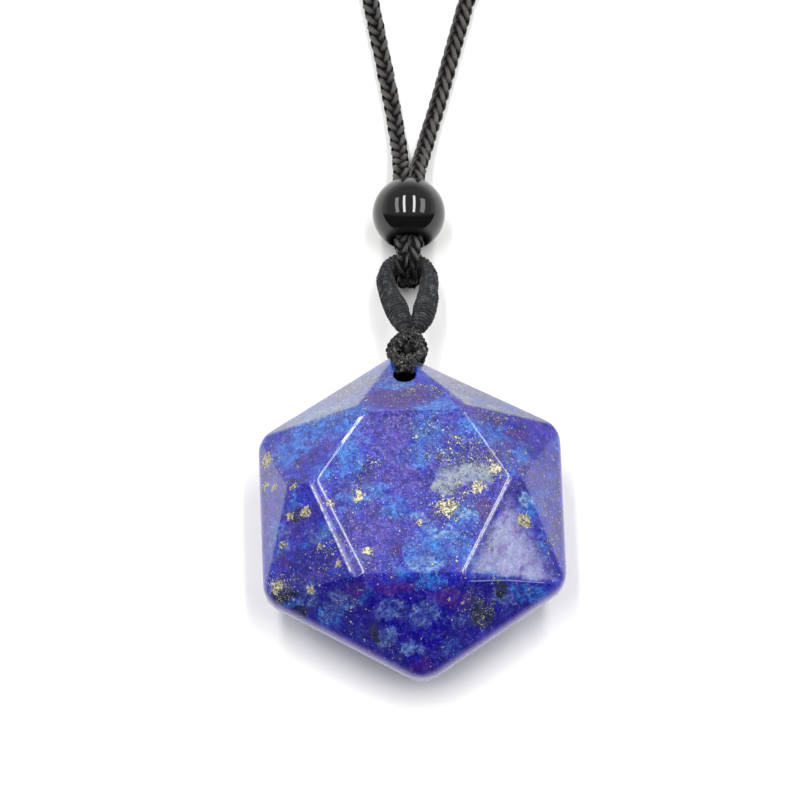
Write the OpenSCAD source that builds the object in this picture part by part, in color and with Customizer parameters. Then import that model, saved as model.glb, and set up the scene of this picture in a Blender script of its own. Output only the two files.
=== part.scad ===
// Star-cut hexagonal lapis pendant on a black braided neck cord, lying on a flat surface.
// Millimetres, +Z up. The origin is the centre of the stone's back table, on the surface.
// +Y runs from the stone towards the bead and the neck, +X to the right of someone facing the front table.

/* [Stone] */
// Thickness of the stone, from back table to front table
stone_t = 13.9; // [12:0.1:16]
// Height of the straight band around the stone, with sharp edges
girdle_h = 1.1; // [0.8:0.1:2]
// Radius of the rounding along the girdle's edges
girdle_round = 1; // [0.6:0.1:1.2]
// Radius of the rounding between the facets of the crown
facet_round = 0.5; // [0.3:0.05:0.8]
// Radius of the six outline corners, seen from the front
corner_r = 3.2; // [2:0.1:4]
// Radius of the drilled hole
hole_r = 1.15; // [1.15:0.05:1.4]

/* [Bead] */
// Diameter of the bead
bead_d = 8; // [8:0.1:9]
// Radius of the bead's drilled hole, wide enough for both strands of the neck cord
bead_bore_r = 1.9; // [1.85:0.05:2.2]

/* [Cords] */
// Diameter of the braided neck cord
neck_d = 1.7; // [1.5:0.05:1.7]
// Diameter of the thin cord through the stone
hanger_d = 1; // [0.8:0.05:1]
// Thickness of the wound ring's legs at the middle
ring_leg_d = 2.5; // [2.2:0.1:2.6]

/* [Hidden] */
$fn = 64;
ROUND_FN = 32;
KNOT_FN = 14;
CORD_SIDES = 8;
GAP = 0.1;

// The stone is cut by hand, so each corner has its own place.
// Columns: angle and reach of a girdle corner, angle and reach of the table corner before it, and how far
// beyond the table corner the side facet below it ends.
STONE_CORNERS = [
    // girdle angle, girdle reach, table angle, table reach, facet end
    [31.7, 18.6, 8.2, 10.4, 1.3],
    [94, 18.4, 58.6, 10.45, 0.95],
    [152.5, 18.1, 119.4, 9.85, 1.4],
    [212.5, 18, 173, 9.75, 3],
    [274.2, 18.75, 242.3, 10.2, 0.8],
    [333.5, 18.15, 301, 10.4, 0.8],
];
GIRDLE_ANGLE = 0;
GIRDLE_REACH = 1;
TABLE_ANGLE = 2;
TABLE_REACH = 3;
FACET_END = 4;
CORNERS = len(STONE_CORNERS);

// The stone is drawn about the middle of its thickness, mid_z above the surface it rests on.
mid_z = stone_t / 2;
edge_z = girdle_h / 2;

// Where the pieces lie: across and along from the middle of the stone
hole_x = -0.6;
hole_y = 14.6;
knot_x = -0.3;
ring_x = -0.25;
bead_x = -0.1;
bead_y = 36.6;

// Corner k of the girdle and of the table with sharp edges, up from the middle of the stone's thickness
function polar(angle, reach, z) = [reach * cos(angle), reach * sin(angle), z];
function girdle_corner(k) =
    let (c = STONE_CORNERS[(k + CORNERS) % CORNERS])
    polar(c[GIRDLE_ANGLE], c[GIRDLE_REACH], edge_z);
function table_corner(k) =
    let (c = STONE_CORNERS[(k + CORNERS) % CORNERS])
    polar(c[TABLE_ANGLE], c[TABLE_REACH], mid_z);

// Star facet k stands on the table edge from corner k to corner k + 1 and points to girdle corner k.
function star_normal(k) =
    cross(table_corner(k + 1) - table_corner(k), girdle_corner(k) - table_corner(k));

// Two star facets meet in a ridge that runs out and down from their shared table corner, to the side facet.
function ridge(k) =
    let (r = cross(star_normal(k - 1), star_normal(k)), out = r * table_corner(k) < 0 ? -r : r)
    out / norm([out[0], out[1]]);
function facet_tip(k) = table_corner(k) + STONE_CORNERS[k][FACET_END] * ridge(k);

// Centres of the balls whose hull has those corners, rounded. A ball's own poles are cut flat, so it is set
// out by the share that its flat loses.
function plan_dir(p) = [p[0], p[1], 0] / norm([p[0], p[1]]);
CORNER_INSET = 1 / sin(60);
GIRDLE_TURN = tan(21);
FACET_INSET = 0.36;
TIP_INSET = [0.55, 0.886];
POLE_SHARE = cos(180 / ROUND_FN);
function inset(corner, radius, inward, down) = corner - radius * (plan_dir(corner) * inward + [0, 0, down]);
function girdle_ball(k) = inset(girdle_corner(k), girdle_round, CORNER_INSET, GIRDLE_TURN);
function table_ball(k) = inset(table_corner(k), facet_round, FACET_INSET, POLE_SHARE);
function tip_ball(k) = inset(facet_tip(k), facet_round, TIP_INSET[0], TIP_INSET[1]);

module ball_at(p, r, fn) translate(p) sphere(r = r, $fn = fn);

// One face of the stone: the table, six star facets and six side facets. The other face mirrors it.
module crown_balls() {
    for (k = [0 : CORNERS - 1]) {
        ball_at(girdle_ball(k), girdle_round, ROUND_FN);
        ball_at(table_ball(k), facet_round, ROUND_FN);
        ball_at(tip_ball(k), facet_round, ROUND_FN);
    }
}

// Outline of the stone from the front, with its corners rounded
module stone_outline() {
    linear_extrude(height = stone_t)
        hull()
            for (k = [0 : CORNERS - 1]) {
                c = girdle_corner(k) - plan_dir(girdle_corner(k)) * corner_r * CORNER_INSET;
                translate([c[0], c[1]]) circle(r = corner_r);
            }
}

module stone() {
    color("#2b3fae")
        difference() {
            intersection() {
                translate([0, 0, mid_z])
                    hull() {
                        crown_balls();
                        mirror([0, 0, 1]) crown_balls();
                    }
                stone_outline();
            }
            translate([hole_x, hole_y, -GAP]) cylinder(r = hole_r, h = stone_t + 2 * GAP);
        }
}

module bead() {
    color("#0b0b0d")
        translate([bead_x, bead_y, bead_d / 2])
            difference() {
                sphere(d = bead_d);
                rotate([90, 0, 0]) cylinder(r = bead_bore_r, h = bead_d + 2 * GAP, center = true);
            }
}

// A chain of balls joined in turn, for short stretches of cord. Each station is [x, y, z, diameter].
module chain(stations) {
    for (i = [0 : len(stations) - 2])
        hull()
            for (s = [stations[i], stations[i + 1]])
                ball_at([s[0], s[1], s[2]], s[3] / 2, KNOT_FN);
}

// The ring lies in a plane that rises from the bead to the knot. Each leg bends out from the foot, where
// both legs meet, to the top.
ring_top_d = 1.8;
RING_STATIONS = [
    // out from the middle, along, up, diameter, and how far the ring leans to the right there
    [0.95, 22.45, 6.15, ring_leg_d - 0.2, 0.4],
    [1.3, 23.4, 5.75, ring_leg_d + 0.1, 0.38],
    [1.55, 24.5, 5.3, ring_leg_d + 0.3, 0.32],
    [1.9, 25.9, 4.75, ring_leg_d + 0.1, 0.2],
    [2.1, 27.2, 4.2, ring_leg_d, 0.06],
    [2.25, 28.4, 3.7, ring_leg_d - 0.1, 0],
    [2.3, 29.5, 3.3, ring_top_d + 0.2, 0],
    [1.9, 30.6, 3, ring_top_d, 0],
    [1.05, 31.35, 2.88, ring_top_d, 0],
    [0, 31.6, 2.85, ring_top_d, 0],
];

module wrapped_ring() {
    color("#202022")
        for (side = [-1, 1])
            chain([for (s = RING_STATIONS) [ring_x + s[4] + side * s[0], s[1], s[2], s[3]]]);
}

// The thin cord: two strands from the ring's foot to the knot, the knot, and two strands that pass over the
// stone's corner, down through the hole and back up behind.
strand_pitch = hanger_d + 0.12;
STRAND = [
    // along from the hole, up or down from the middle of the stone's thickness
    [4.7, 1.25],
    [3.7, 1.8],
    [2.6, 2.25],
    [1.25, 3.1],
    [0.55, 3.4],
    [0.1, 2.85],
    [0, 1.65],
];
KNOT_BALLS = [
    // across from the knot's middle, along, up from the middle of the stone's thickness, diameter
    [-1.35, 18.85, 0.15, 1.8],
    [1.35, 18.85, 0.15, 1.8],
    [0, 19.2, 0.95, 2],
    [0, 19.2, -0.75, 2],
    [0, 19.75, -0.05, 1.9],
];
NECK_OF_KNOT = [
    // across, along, up
    [knot_x + 0.2, 20, 6.75],
    [knot_x + 0.35, 20.75, 6.6],
];

// One strand, x across from the middle of the hole: over the stone's corner, through it and back behind
module strand(x) {
    function at_hole(s, face) = [hole_x + x, hole_y + s[0], mid_z + face * s[1], hanger_d];
    over = [for (s = STRAND) at_hole(s, 1)];
    under = [for (i = [len(STRAND) - 1 : -1 : 0]) at_hole(STRAND[i], -1)];
    chain(concat(over, under));
    chain([for (p = NECK_OF_KNOT) [p[0] + x, p[1], p[2], hanger_d]]);
}

module hanger_cord() {
    color("#1b1b1d") {
        hull()
            for (b = KNOT_BALLS)
                ball_at([knot_x + b[0], b[1], mid_z + b[2]], b[3] / 2, KNOT_FN);
        for (side = [-1, 1])
            strand(side * strand_pitch / 2);
    }
}

// Route of the neck cord's middle line. Each strand starts behind the top of the ring, comes through the
// ring and over its front, passes through the bead and runs on round the neck. Beyond the bead the cord lies
// on the surface in one plain open loop. The soft cord is squeezed where the ring grips it.
// Columns: across, along, up, and the cord's thickness there.
fold_d = neck_d * 0.62;
fold_x = 0.56;
bore_x = 0.88;
ring_end_y = 33;
FOLD = [
    [fold_x, 31.9, 0.8, fold_d], [fold_x, 30.4, 0.8, fold_d], [fold_x, 29.2, 1.35, fold_d],
    [fold_x, 28.65, 2.6, fold_d], [fold_x, 29.1, 3.9, fold_d], [fold_x, 30.3, 4.6, fold_d],
    [fold_x + 0.06, 32, 4.6, fold_d + 0.1], [bore_x - 0.08, 33.5, 4.2, neck_d - 0.15],
    [bore_x, 36.6, 4, neck_d], [bore_x, 40.4, 3.75, neck_d],
];
lie_z = neck_d / 2 + 0.01;
NECK_LOOP = [
    [-0.96, 42.6, 2.95], [-1.1, 45, 1.7], [-1.5, 48.5, 0.95], [-2.2, 53, lie_z], [-4.5, 65.4, lie_z],
    [-7.4, 80, lie_z], [-13.5, 105, lie_z], [-23, 135, lie_z], [-36, 168, lie_z], [-49, 200, lie_z],
    [-58, 232, lie_z], [-58, 262, lie_z], [-48, 287, lie_z], [-28, 304, lie_z], [0, 310, lie_z],
    [28, 304, lie_z], [48, 287, lie_z], [58, 262, lie_z], [59, 232, lie_z], [52, 200, lie_z],
    [41, 168, lie_z], [29, 135, lie_z], [18.5, 105, lie_z], [10.4, 80, lie_z], [6.6, 65.4, lie_z],
    [3.5, 53, lie_z], [2.3, 48.5, 0.95], [1.45, 45, 1.7], [0.95, 42.6, 2.95],
];
function middle_at(p) = p[1] < ring_end_y ? ring_x : bead_x;
NECK_ROUTE = concat(
    [for (p = FOLD) [middle_at(p) - p[0], p[1], p[2], p[3]]],
    [for (p = NECK_LOOP) [p[0], p[1], p[2], neck_d]],
    [for (i = [len(FOLD) - 1 : -1 : 0]) let (p = FOLD[i]) [middle_at(p) + p[0], p[1], p[2], p[3]]]
);
LONG_STRETCH = 11;

// A smooth line through the route's points, with one more point in the middle of each long stretch
function smooth(p0, p1, p2, p3, t) =
    let (bend = 2 * p0 - 5 * p1 + 4 * p2 - p3, twist = 3 * p1 - p0 - 3 * p2 + p3)
    p1 + ((p2 - p0) * t + bend * t ^ 2 + twist * t ^ 3) / 2;
function route_line(pts) =
    let (last = len(pts) - 1)
    [
        for (i = [0 : last - 1])
            let (
                before = pts[max(i - 1, 0)],
                after = pts[min(i + 2, last)],
                parts = norm(pts[i + 1] - pts[i]) > LONG_STRETCH ? 2 : 1
            )
            for (j = [0 : parts - 1]) smooth(before, pts[i], pts[i + 1], after, j / parts),
        pts[last],
    ];

// Direction of the line at point i, and a side direction that turns as little as it can from point to point
function unit(v) = v / norm(v);
function place(p) = [p[0], p[1], p[2]];
function heading(pts, i) = unit(place(pts[min(i + 1, len(pts) - 1)] - pts[max(i - 1, 0)]));
function side_dirs(pts) =
    [
        for (
            i = 0, side = unit(cross(heading(pts, 0), [0, 1, 1]));
            i < len(pts);
            i = i + 1,
            next = heading(pts, min(i, len(pts) - 1)),
            side = unit(side - (side * next) * next)
        )
            side,
    ];

// A cord along the line, as thick as the fourth column says, closed at both ends
module cord(pts, sides) {
    side = side_dirs(pts);
    points = [
        for (i = [0 : len(pts) - 1])
            let (up = cross(heading(pts, i), side[i]), r = pts[i][3] / 2)
            for (k = [0 : sides - 1])
                let (a = 360 * (k + 0.5) / sides)
                place(pts[i]) + r * (cos(a) * side[i] + sin(a) * up),
    ];
    walls = [
        for (i = [0 : len(pts) - 2], k = [0 : sides - 1])
            let (a = i * sides + k, b = i * sides + (k + 1) % sides)
            [a, a + sides, b + sides, b],
    ];
    foot = [for (k = [0 : sides - 1]) k];
    head = [for (k = [sides - 1 : -1 : 0]) (len(pts) - 1) * sides + k];
    polyhedron(points, concat(walls, [foot, head]), convexity = 6);
}

module neck_cord() {
    color("#19191b") cord(route_line(NECK_ROUTE), CORD_SIDES);
}

stone();
hanger_cord();
wrapped_ring();
bead();
neck_cord();
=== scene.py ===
# %% [markdown]
# A flat six-sided pendant of blue lapis hangs on a black braided neck cord. It lies on a white table and the
# camera looks down on it. The drawing in solids is already packed, so the lesson starts by loading it: every
# piece made here is put where that drawing says, in metres, with nothing to fit.

# %% Load the drawn part
import math

import bmesh
import bpy
import numpy as np
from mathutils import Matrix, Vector
from mathutils.geometry import delaunay_2d_cdt


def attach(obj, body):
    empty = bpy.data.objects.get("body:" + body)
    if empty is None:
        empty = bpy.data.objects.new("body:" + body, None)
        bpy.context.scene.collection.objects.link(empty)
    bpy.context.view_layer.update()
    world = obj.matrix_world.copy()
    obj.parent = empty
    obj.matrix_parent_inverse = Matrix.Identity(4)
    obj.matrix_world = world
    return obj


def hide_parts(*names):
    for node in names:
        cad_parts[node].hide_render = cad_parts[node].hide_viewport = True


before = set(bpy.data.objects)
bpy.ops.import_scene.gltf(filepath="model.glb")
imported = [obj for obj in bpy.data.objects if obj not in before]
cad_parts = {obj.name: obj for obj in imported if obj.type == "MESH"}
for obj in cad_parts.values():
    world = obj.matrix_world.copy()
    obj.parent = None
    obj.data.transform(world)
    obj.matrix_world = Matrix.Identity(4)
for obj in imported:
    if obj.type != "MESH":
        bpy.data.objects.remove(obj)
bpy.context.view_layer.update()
MM = 0.001
print("nodes:", sorted(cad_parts))

# %% [markdown]
# The camera stands 35 cm from the stone and looks down at 67 degrees. Its lens is long, so the far side of the
# stone is hardly smaller than the near side. An empty could be tracked, but a direction and one short
# conversion to a rotation say the same thing with less in the scene.

# %% Camera
PICTURE_PX = 800
FOCAL_PX = 3226.4
SENSOR_MM = 36
CAMERA_PLACE = Vector((-1.07, -122.396, 321.473)) * MM
AIM = Vector((-1.07, 16.006, 0)) * MM


def in_scene(name, data):
    """A new object in the scene that holds the data."""
    item = bpy.data.objects.new(name, data)
    bpy.context.scene.collection.objects.link(item)
    return item


camera_data = bpy.data.cameras.new("camera")
camera_data.sensor_width = SENSOR_MM
camera_data.lens = SENSOR_MM * FOCAL_PX / PICTURE_PX
camera_data.clip_start = 0.01
camera = in_scene("camera", camera_data)
camera.location = CAMERA_PLACE
camera.rotation_euler = (AIM - camera.location).to_track_quat("-Z", "Y").to_euler()
bpy.context.scene.camera = camera
print("lens:", round(camera_data.lens, 1), "mm, camera", round((AIM - CAMERA_PLACE).length, 3), "m away")

# %% [markdown]
# The table top is plain white card, lit so brightly that it burns out in the picture. It is one flat sheet with
# a very slight grain, because a perfectly even floor looks like a hole in the world. It lies a hair below the
# part, so that the two never share a surface. The helpers below keep each material short: they add a node, give
# its inputs values or wires, and hand back what it puts out.

# %% Helpers for nodes
def plug(tree, socket, value):
    """Give a socket a value or wire it. A colour may leave out its alpha."""
    if isinstance(value, bpy.types.NodeSocket):
        tree.links.new(value, socket)
    elif socket.type == "RGBA" and len(value) == 3:
        socket.default_value = (*value, 1)
    else:
        socket.default_value = value


def add(tree, kind, inputs=None, **settings):
    """Add a node. Its inputs take plain values or another node's output. Shader kinds go without their prefix."""
    family = "" if kind.startswith(("Geometry", "Function")) else "ShaderNode"
    node = tree.nodes.new(family + kind)
    for key, value in settings.items():
        setattr(node, key, value)
    for key, value in (inputs or {}).items():
        plug(tree, node.inputs[key], value)
    return node


def new_material(name):
    """A node material with nothing but its Principled shader and its output."""
    material = bpy.data.materials.new(name)
    material.use_nodes = True
    return material, material.node_tree, material.node_tree.nodes["Principled BSDF"]


def millimetres(tree):
    """Place on the piece, in millimetres, from its Object coordinates."""
    place = add(tree, "TexCoord").outputs["Object"]
    return add(tree, "Mapping", {"Vector": place, "Scale": (1000, 1000, 1000)}).outputs[0]


def noise(tree, place, scale, detail=3.0, roughness=0.5, distortion=0.0):
    """Soft noise, scale cells to the millimetre."""
    wants = {"Vector": place, "Scale": scale, "Detail": detail, "Roughness": roughness, "Distortion": distortion}
    return add(tree, "TexNoise", wants).outputs["Fac"]


def tint(tree, mask, below, above, blend="MIX"):
    """Colour above over colour below, as far as the mask says."""
    # The Mix node has sockets for every kind of value: 6, 7 and output 2 are the ones for colours
    return add(tree, "Mix", {0: mask, 6: below, 7: above}, data_type="RGBA", blend_type=blend).outputs[2]


# %% White table top
card, card_tree, card_shader = new_material("white_card")
card_grain = noise(card_tree, millimetres(card_tree), 0.6, 4)
card_shade = tint(card_tree, card_grain, (0.83, 0.83, 0.825), (0.86, 0.86, 0.85))
plug(card_tree, card_shader.inputs["Base Color"], card_shade)
card_shader.inputs["Roughness"].default_value = 0.75
card_shader.inputs["Specular IOR Level"].default_value = 0.25
FLOOR_REACH = 1.6
FLOOR_DROP = 0.02 * MM
floor_mesh = bpy.data.meshes.new("floor")
floor_corners = [(x * FLOOR_REACH, y * FLOOR_REACH, -FLOOR_DROP) for x, y in ((-1, -1), (1, -1), (1, 1), (-1, 1))]
floor_mesh.from_pydata(floor_corners, [], [(0, 1, 2, 3)])
floor_mesh.materials.append(card)
floor = in_scene("floor", floor_mesh)
print("floor:", 2 * FLOOR_REACH, "m square")

# %% [markdown]
# The picture is lit from overhead by four long lamps that run away from the camera: the bead shows them side by
# side, two bright ones in the middle and a wider, dimmer one at each side. The rest is the light of a pale
# room, bright beyond the table and dark behind the camera.

# %% Lamps
# Metres: how high the lamps hang, and their middle and length along the table
STRIP_HEIGHT = 1.0
STRIP_MIDDLE, STRIP_LENGTH = 0.16, 1.06
# The bead's own curve draws the lamps' images together, so they stand a little further apart than they seem to.
SPREAD = 1.05
# name, lean from straight overhead in degrees, width in metres, watts
STRIPS = [("strip_inner_left", -13.8, 0.13, 7.2), ("strip_inner_right", 15.6, 0.13, 7.2),
          ("strip_outer_left", -36.0, 0.24, 3.4), ("strip_outer_right", 42, 0.36, 4.4)]


def lamp(name, place, size, watts):
    """A flat rectangular lamp that faces the stone. size is its width across and its length."""
    light = bpy.data.lights.new(name, "AREA")
    light.shape = "RECTANGLE"
    light.size, light.size_y = size
    light.energy = watts
    holder = in_scene(name, light)
    holder.location = place
    holder.rotation_euler = (0, math.atan2(place[0], place[2]), 0)
    holder.visible_camera = False


for name, lean, width, watts in STRIPS:
    across = math.tan(math.radians(lean)) * STRIP_HEIGHT * SPREAD
    lamp(name, (across, STRIP_MIDDLE, STRIP_HEIGHT), (width, STRIP_LENGTH), watts)


# %% Room light
def step_up(tree, value, low, high, to_low=0.0, to_high=1.0):
    """A soft step: to_low below low, to_high above high."""
    inputs = dict(enumerate((value, low, high, to_low, to_high)))
    return add(tree, "MapRange", inputs, interpolation_type="SMOOTHSTEP").outputs[0]


# The way beyond the table, 35 degrees up
BEYOND = (0, 0.816, 0.578)
world = bpy.data.worlds.new("room")
world.use_nodes = True
bpy.context.scene.world = world
room = world.node_tree
heading = add(room, "TexCoord").outputs["Generated"]
ahead = add(room, "VectorMath", {0: heading, 1: BEYOND}, operation="DOT_PRODUCT").outputs["Value"]
up = add(room, "SeparateXYZ", {"Vector": heading}).outputs["Z"]
bright_side = tint(room, step_up(room, up, 0.0, 0.45, 1.0, 0.0), (0.42, 0.42, 0.41), (1.0, 0.99, 0.97))
shade = tint(room, step_up(room, ahead, -0.08, 0.12), (0.02, 0.02, 0.021), bright_side)
seen = add(room, "LightPath").outputs["Is Camera Ray"]
plug(room, room.nodes["Background"].inputs["Color"], tint(room, seen, shade, (0.88, 0.89, 0.9)))
bpy.context.scene.view_settings.view_transform = "Standard"
print("room:", len(room.nodes), "nodes")

# %% [markdown]
# The stone is cut flat on both faces: a six-sided table, six facets that make a star and six side facets
# between the star's points. A hull of the corners with a bevel could make it, but bevels smear where three or
# four facets meet. Here each facet is a plane, and the face's height is the softened lowest of them all. That
# gives exact flats, evenly worn edges and an exact normal at every point, which a polished surface needs.

# %% The stone's planes
# Millimetres: half the stone's thickness, half the girdle's height at its corners
HALF = 6.95
EDGE = 0.55
# girdle angle, girdle reach, table angle, table reach, how far past the table corner the side facet ends
STONE_CORNERS = [
    (31.7, 18.6, 8.2, 10.4, 1.3), (94, 18.4, 58.6, 10.45, 0.95), (152.5, 18.1, 119.4, 9.85, 1.4),
    (212.5, 18, 173, 9.75, 3), (274.2, 18.75, 242.3, 10.2, 0.8), (333.5, 18.15, 301, 10.4, 0.8),
]
# Radius of the outline's corners, and of the round between a face and the girdle
CORNER_ROUND = 3.2
GIRDLE_ROUND = 1.0
# How crisp the worn edges between facets are: the higher, the sharper
SHARPNESS = 21.0
# The star facet where the narrow flat lies, the flat's two outer ends in plan, and their depths below the table
NARROW = 3
NARROW_ENDS = [(-10.4, 1.1), (-6.0, -9.0)]
NARROW_DEPTHS = [0.21, 0.342]


def polar(angle, reach, height):
    """A point by its angle in degrees and its distance from the middle."""
    turn = math.radians(angle)
    return np.array([reach * math.cos(turn), reach * math.sin(turn), height])


def unit(v):
    return v / np.linalg.norm(v)


def plane_through(a, b, c):
    """Slopes and height of the plane z = height - sx x - sy y through three points."""
    n = np.cross(b - a, c - a)
    n = n / n[2]
    return np.array([n[0], n[1], n @ a])


COUNT = len(STONE_CORNERS)
girdle = [polar(c[0], c[1], EDGE) for c in STONE_CORNERS]
table = [polar(c[2], c[3], HALF) for c in STONE_CORNERS]
tips = []
for k, corner in enumerate(STONE_CORNERS):
    star_normals = []
    for j in (k - 1, k):
        a, b, point = table[j % COUNT], table[(j + 1) % COUNT], girdle[j % COUNT]
        star_normals.append(np.cross(b - a, point - a))
    ridge = np.cross(*star_normals)
    ridge = ridge / np.linalg.norm(ridge[:2])
    if ridge[:2] @ table[k][:2] < 0:
        ridge = -ridge
    tips.append(table[k] + corner[4] * ridge)
table_plane = np.array([0, 0, HALF])
star_planes = [plane_through(table[k], table[(k + 1) % COUNT], girdle[k]) for k in range(COUNT)]
narrow_edge = [np.array([*p, HALF - depth]) for p, depth in zip(NARROW_ENDS, NARROW_DEPTHS)]
star_planes[NARROW] = plane_through(*narrow_edge, girdle[NARROW])


def ridge_point(k):
    """Where star facets k - 1 and k meet, as far from the middle as the side facet's tip."""
    before, after = star_planes[k - 1], star_planes[k]
    along = np.array([before[1] - after[1], after[0] - before[0]])
    along = unit(along) * np.sign(along @ tips[k][:2])
    across = (before - after)[:2]
    start = across * (before - after)[2] / (across @ across)
    out = start + along * math.sqrt(tips[k][:2] @ tips[k][:2] - start @ start)
    return np.array([*out, before[2] - before[:2] @ out])


for k in (NARROW, NARROW + 1):
    tips[k] = ridge_point(k)
side_planes = [plane_through(tips[k], girdle[k - 1], girdle[k]) for k in range(COUNT)]
for name, planes in (("star", star_planes), ("side", side_planes)):
    print(name, "facets slope", [round(math.degrees(math.atan(math.hypot(p[0], p[1])))) for p in planes])

# %% [markdown]
# On the lower left the table's edge isn't one edge but a narrow extra flat between two, so the lamps draw two
# lines there. On the upper left and the right the edge is only worn to a thin, slightly flattened strip, which
# is as tilted as it must be to mirror a lamp.

# %% Narrow flats along the table's edges
def edge_flat(k, slope_deg, start, end):
    """A flat along the table edge from corner k, at a slope, that starts so far inside the edge's two ends."""
    a, b = table[k][:2], table[(k + 1) % COUNT][:2]
    out = unit(np.array([b[1] - a[1], a[0] - b[0]]))
    a, b = a - out * start, b - out * end
    out = unit(np.array([b[1] - a[1], a[0] - b[0]]))
    slope = math.tan(math.radians(slope_deg))
    return np.array([slope * out[0], slope * out[1], HALF + slope * (out @ a)])


flats = [edge_flat(NARROW, 17, 0.0, 0.0), edge_flat(2, 8.4, 0.34, -0.3), edge_flat(5, 8.8, 0.32, 0.28)]
PLANES = np.array([table_plane] + star_planes + side_planes + flats)
print("planes of the face:", len(PLANES))


def face_height(xy):
    """Height above the stone's middle, and normal, of the front face at points xy."""
    heights = PLANES[:, 2] - xy @ PLANES[:, :2].T
    lowest = heights.min(axis=1, keepdims=True)
    shares = np.exp(-SHARPNESS * (heights - lowest))
    total = shares.sum(axis=1, keepdims=True)
    z = lowest[:, 0] - np.log(total[:, 0]) / SHARPNESS
    slope = (shares / total) @ PLANES[:, :2]
    normal = np.column_stack([slope, np.ones(len(z))])
    return z, normal / np.linalg.norm(normal, axis=1, keepdims=True)


# %% [markdown]
# Seen from the front the stone's outline is a hexagon with rounded corners, and a hole is drilled near the top
# one. Both are walls that meet the sloping face in a small round. A boolean cut would leave long thin triangles
# along its rim, which spoil a polish. So each wall is laid out as a ring of points with the way it faces.

# %% Outline and hole
def rounded_outline(corners, radius, arc_steps=14, spacing=0.6):
    """Points round a convex outline with rounded corners, and the way each one faces."""
    points, facing = [], []
    count = len(corners)
    outs = []
    for k in range(count):
        run = corners[k][:2] - corners[k - 1][:2]
        outs.append(unit(np.array([run[1], -run[0]])))
    for k in range(count):
        before, after = outs[k], outs[(k + 1) % count]
        inner = corners[k][:2] - (before + after) * radius / (1 + before @ after)
        for s in range(arc_steps + 1):
            turn = s / arc_steps
            angle = math.acos(before @ after)
            out = (math.sin((1 - turn) * angle) * before + math.sin(turn * angle) * after) / math.sin(angle)
            points.append(inner + radius * out)
            facing.append(out)
        following = corners[(k + 1) % count][:2]
        second = outs[(k + 2) % count]
        inner_next = following - (after + second) * radius / (1 + after @ second)
        start, end = inner + radius * after, inner_next + radius * after
        pieces = max(2, round(np.linalg.norm(end - start) / spacing))
        for s in range(1, pieces):
            points.append(start + (end - start) * s / pieces)
            facing.append(after)
    return np.array(points), np.array(facing)


HOLE = np.array([-0.6, 14.6])
HOLE_RADIUS = 1.1
HOLE_ROUND = 0.2
HOLE_POINTS = 56
outline, outline_facing = rounded_outline(girdle, CORNER_ROUND)
turns = np.linspace(0, 2 * math.pi, HOLE_POINTS, endpoint=False)
round_about = np.column_stack([np.cos(turns), np.sin(turns)])
hole_edge, hole_facing = HOLE + HOLE_RADIUS * round_about, -round_about
print("outline points:", len(outline), "hole points:", len(hole_edge))


# %% Rounds between the face and a wall
# The contact of ball and face is found by guessing again this many times
CONTACT_ROUNDS = 6


def wall_round(edge, facing, radius, steps=7):
    """Rows of points and normals from where a ball of that radius touches the face, down to the wall."""
    middle = edge - radius * facing
    contact = edge.copy()
    for _ in range(CONTACT_ROUNDS):
        z, normal = face_height(contact)
        contact = middle + radius * normal[:, :2]
    centre_z = z - radius * normal[:, 2]
    level = np.column_stack([facing, np.zeros(len(facing))])
    rows, normals = [], []
    for s in range(steps + 1):
        turn = s / steps
        angle = np.arccos(np.clip((normal * level).sum(axis=1), -1, 1))[:, None]
        toward = (np.sin((1 - turn) * angle) * normal + np.sin(turn * angle) * level) / np.sin(angle)
        rows.append(np.column_stack([middle, centre_z]) + radius * toward)
        normals.append(toward)
    return rows, normals


rim_rows, rim_normals = wall_round(outline, outline_facing, GIRDLE_ROUND)
hole_rows, hole_normals = wall_round(hole_edge, hole_facing, HOLE_ROUND, 4)
print("girdle wall:", round(2 * rim_rows[-1][:, 2].min(), 2), "to", round(2 * rim_rows[-1][:, 2].max(), 2), "mm")

# %% [markdown]
# The face itself needs many points only across its edges, where the light runs along the wear. Rows of points
# follow every edge on both sides, a wide grid fills the flats, and a Delaunay triangulation joins them.

# %% Points on the face
# Millimetres: the rows' distances from an edge, the wide grid's step and reach, and the least distance of points
ACROSS = (0, 0.1, 0.22, 0.36, 0.55, 0.8)
GRID_STEP, GRID_REACH = 1.3, 19
NEAREST = 0.09


def rows_along(a, b, spacing=0.45):
    """Points on both sides of the edge from a to b, in plan."""
    a, b = a[:2], b[:2]
    run = b - a
    length = np.linalg.norm(run)
    side = np.array([-run[1], run[0]]) / length
    steps = max(3, round(length / spacing))
    found = []
    for s in range(steps + 1):
        for offset in ACROSS:
            for sign in ((1, -1) if offset else (1,)):
                found.append(a + run * s / steps + side * offset * sign)
    return found


edges = []
for k in range(COUNT):
    edges += [(table[k], table[(k + 1) % COUNT]), (table[k], tips[k])]
    edges += [(tips[k], girdle[k - 1]), (tips[k], girdle[k])]
upper, lower = narrow_edge
edges += [(upper, lower), (upper, tips[NARROW]), (lower, tips[NARROW + 1]), (lower, table[NARROW + 1])]
loose = []
for a, b in edges:
    loose += rows_along(a, b)
grid = np.arange(-GRID_REACH, GRID_REACH + 0.1, GRID_STEP)
loose += [np.array([x, y]) for x in grid for y in grid]
loose = np.array(loose)


def well_inside(points, margin=0.12):
    """Which points lie inside the face's rim and clear of the hole."""
    rim = rim_rows[0][:, :2]
    ahead = np.roll(rim, -1, axis=0) - rim
    keep = np.ones(len(points), bool)
    for corner, run in zip(rim, ahead):
        away = points - corner
        keep &= (run[0] * away[:, 1] - run[1] * away[:, 0]) / np.linalg.norm(run) > margin
    hole_reach = np.linalg.norm(hole_rows[0][:, :2] - HOLE, axis=1).max()
    return keep & (np.linalg.norm(points - HOLE, axis=1) > hole_reach + margin)


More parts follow.
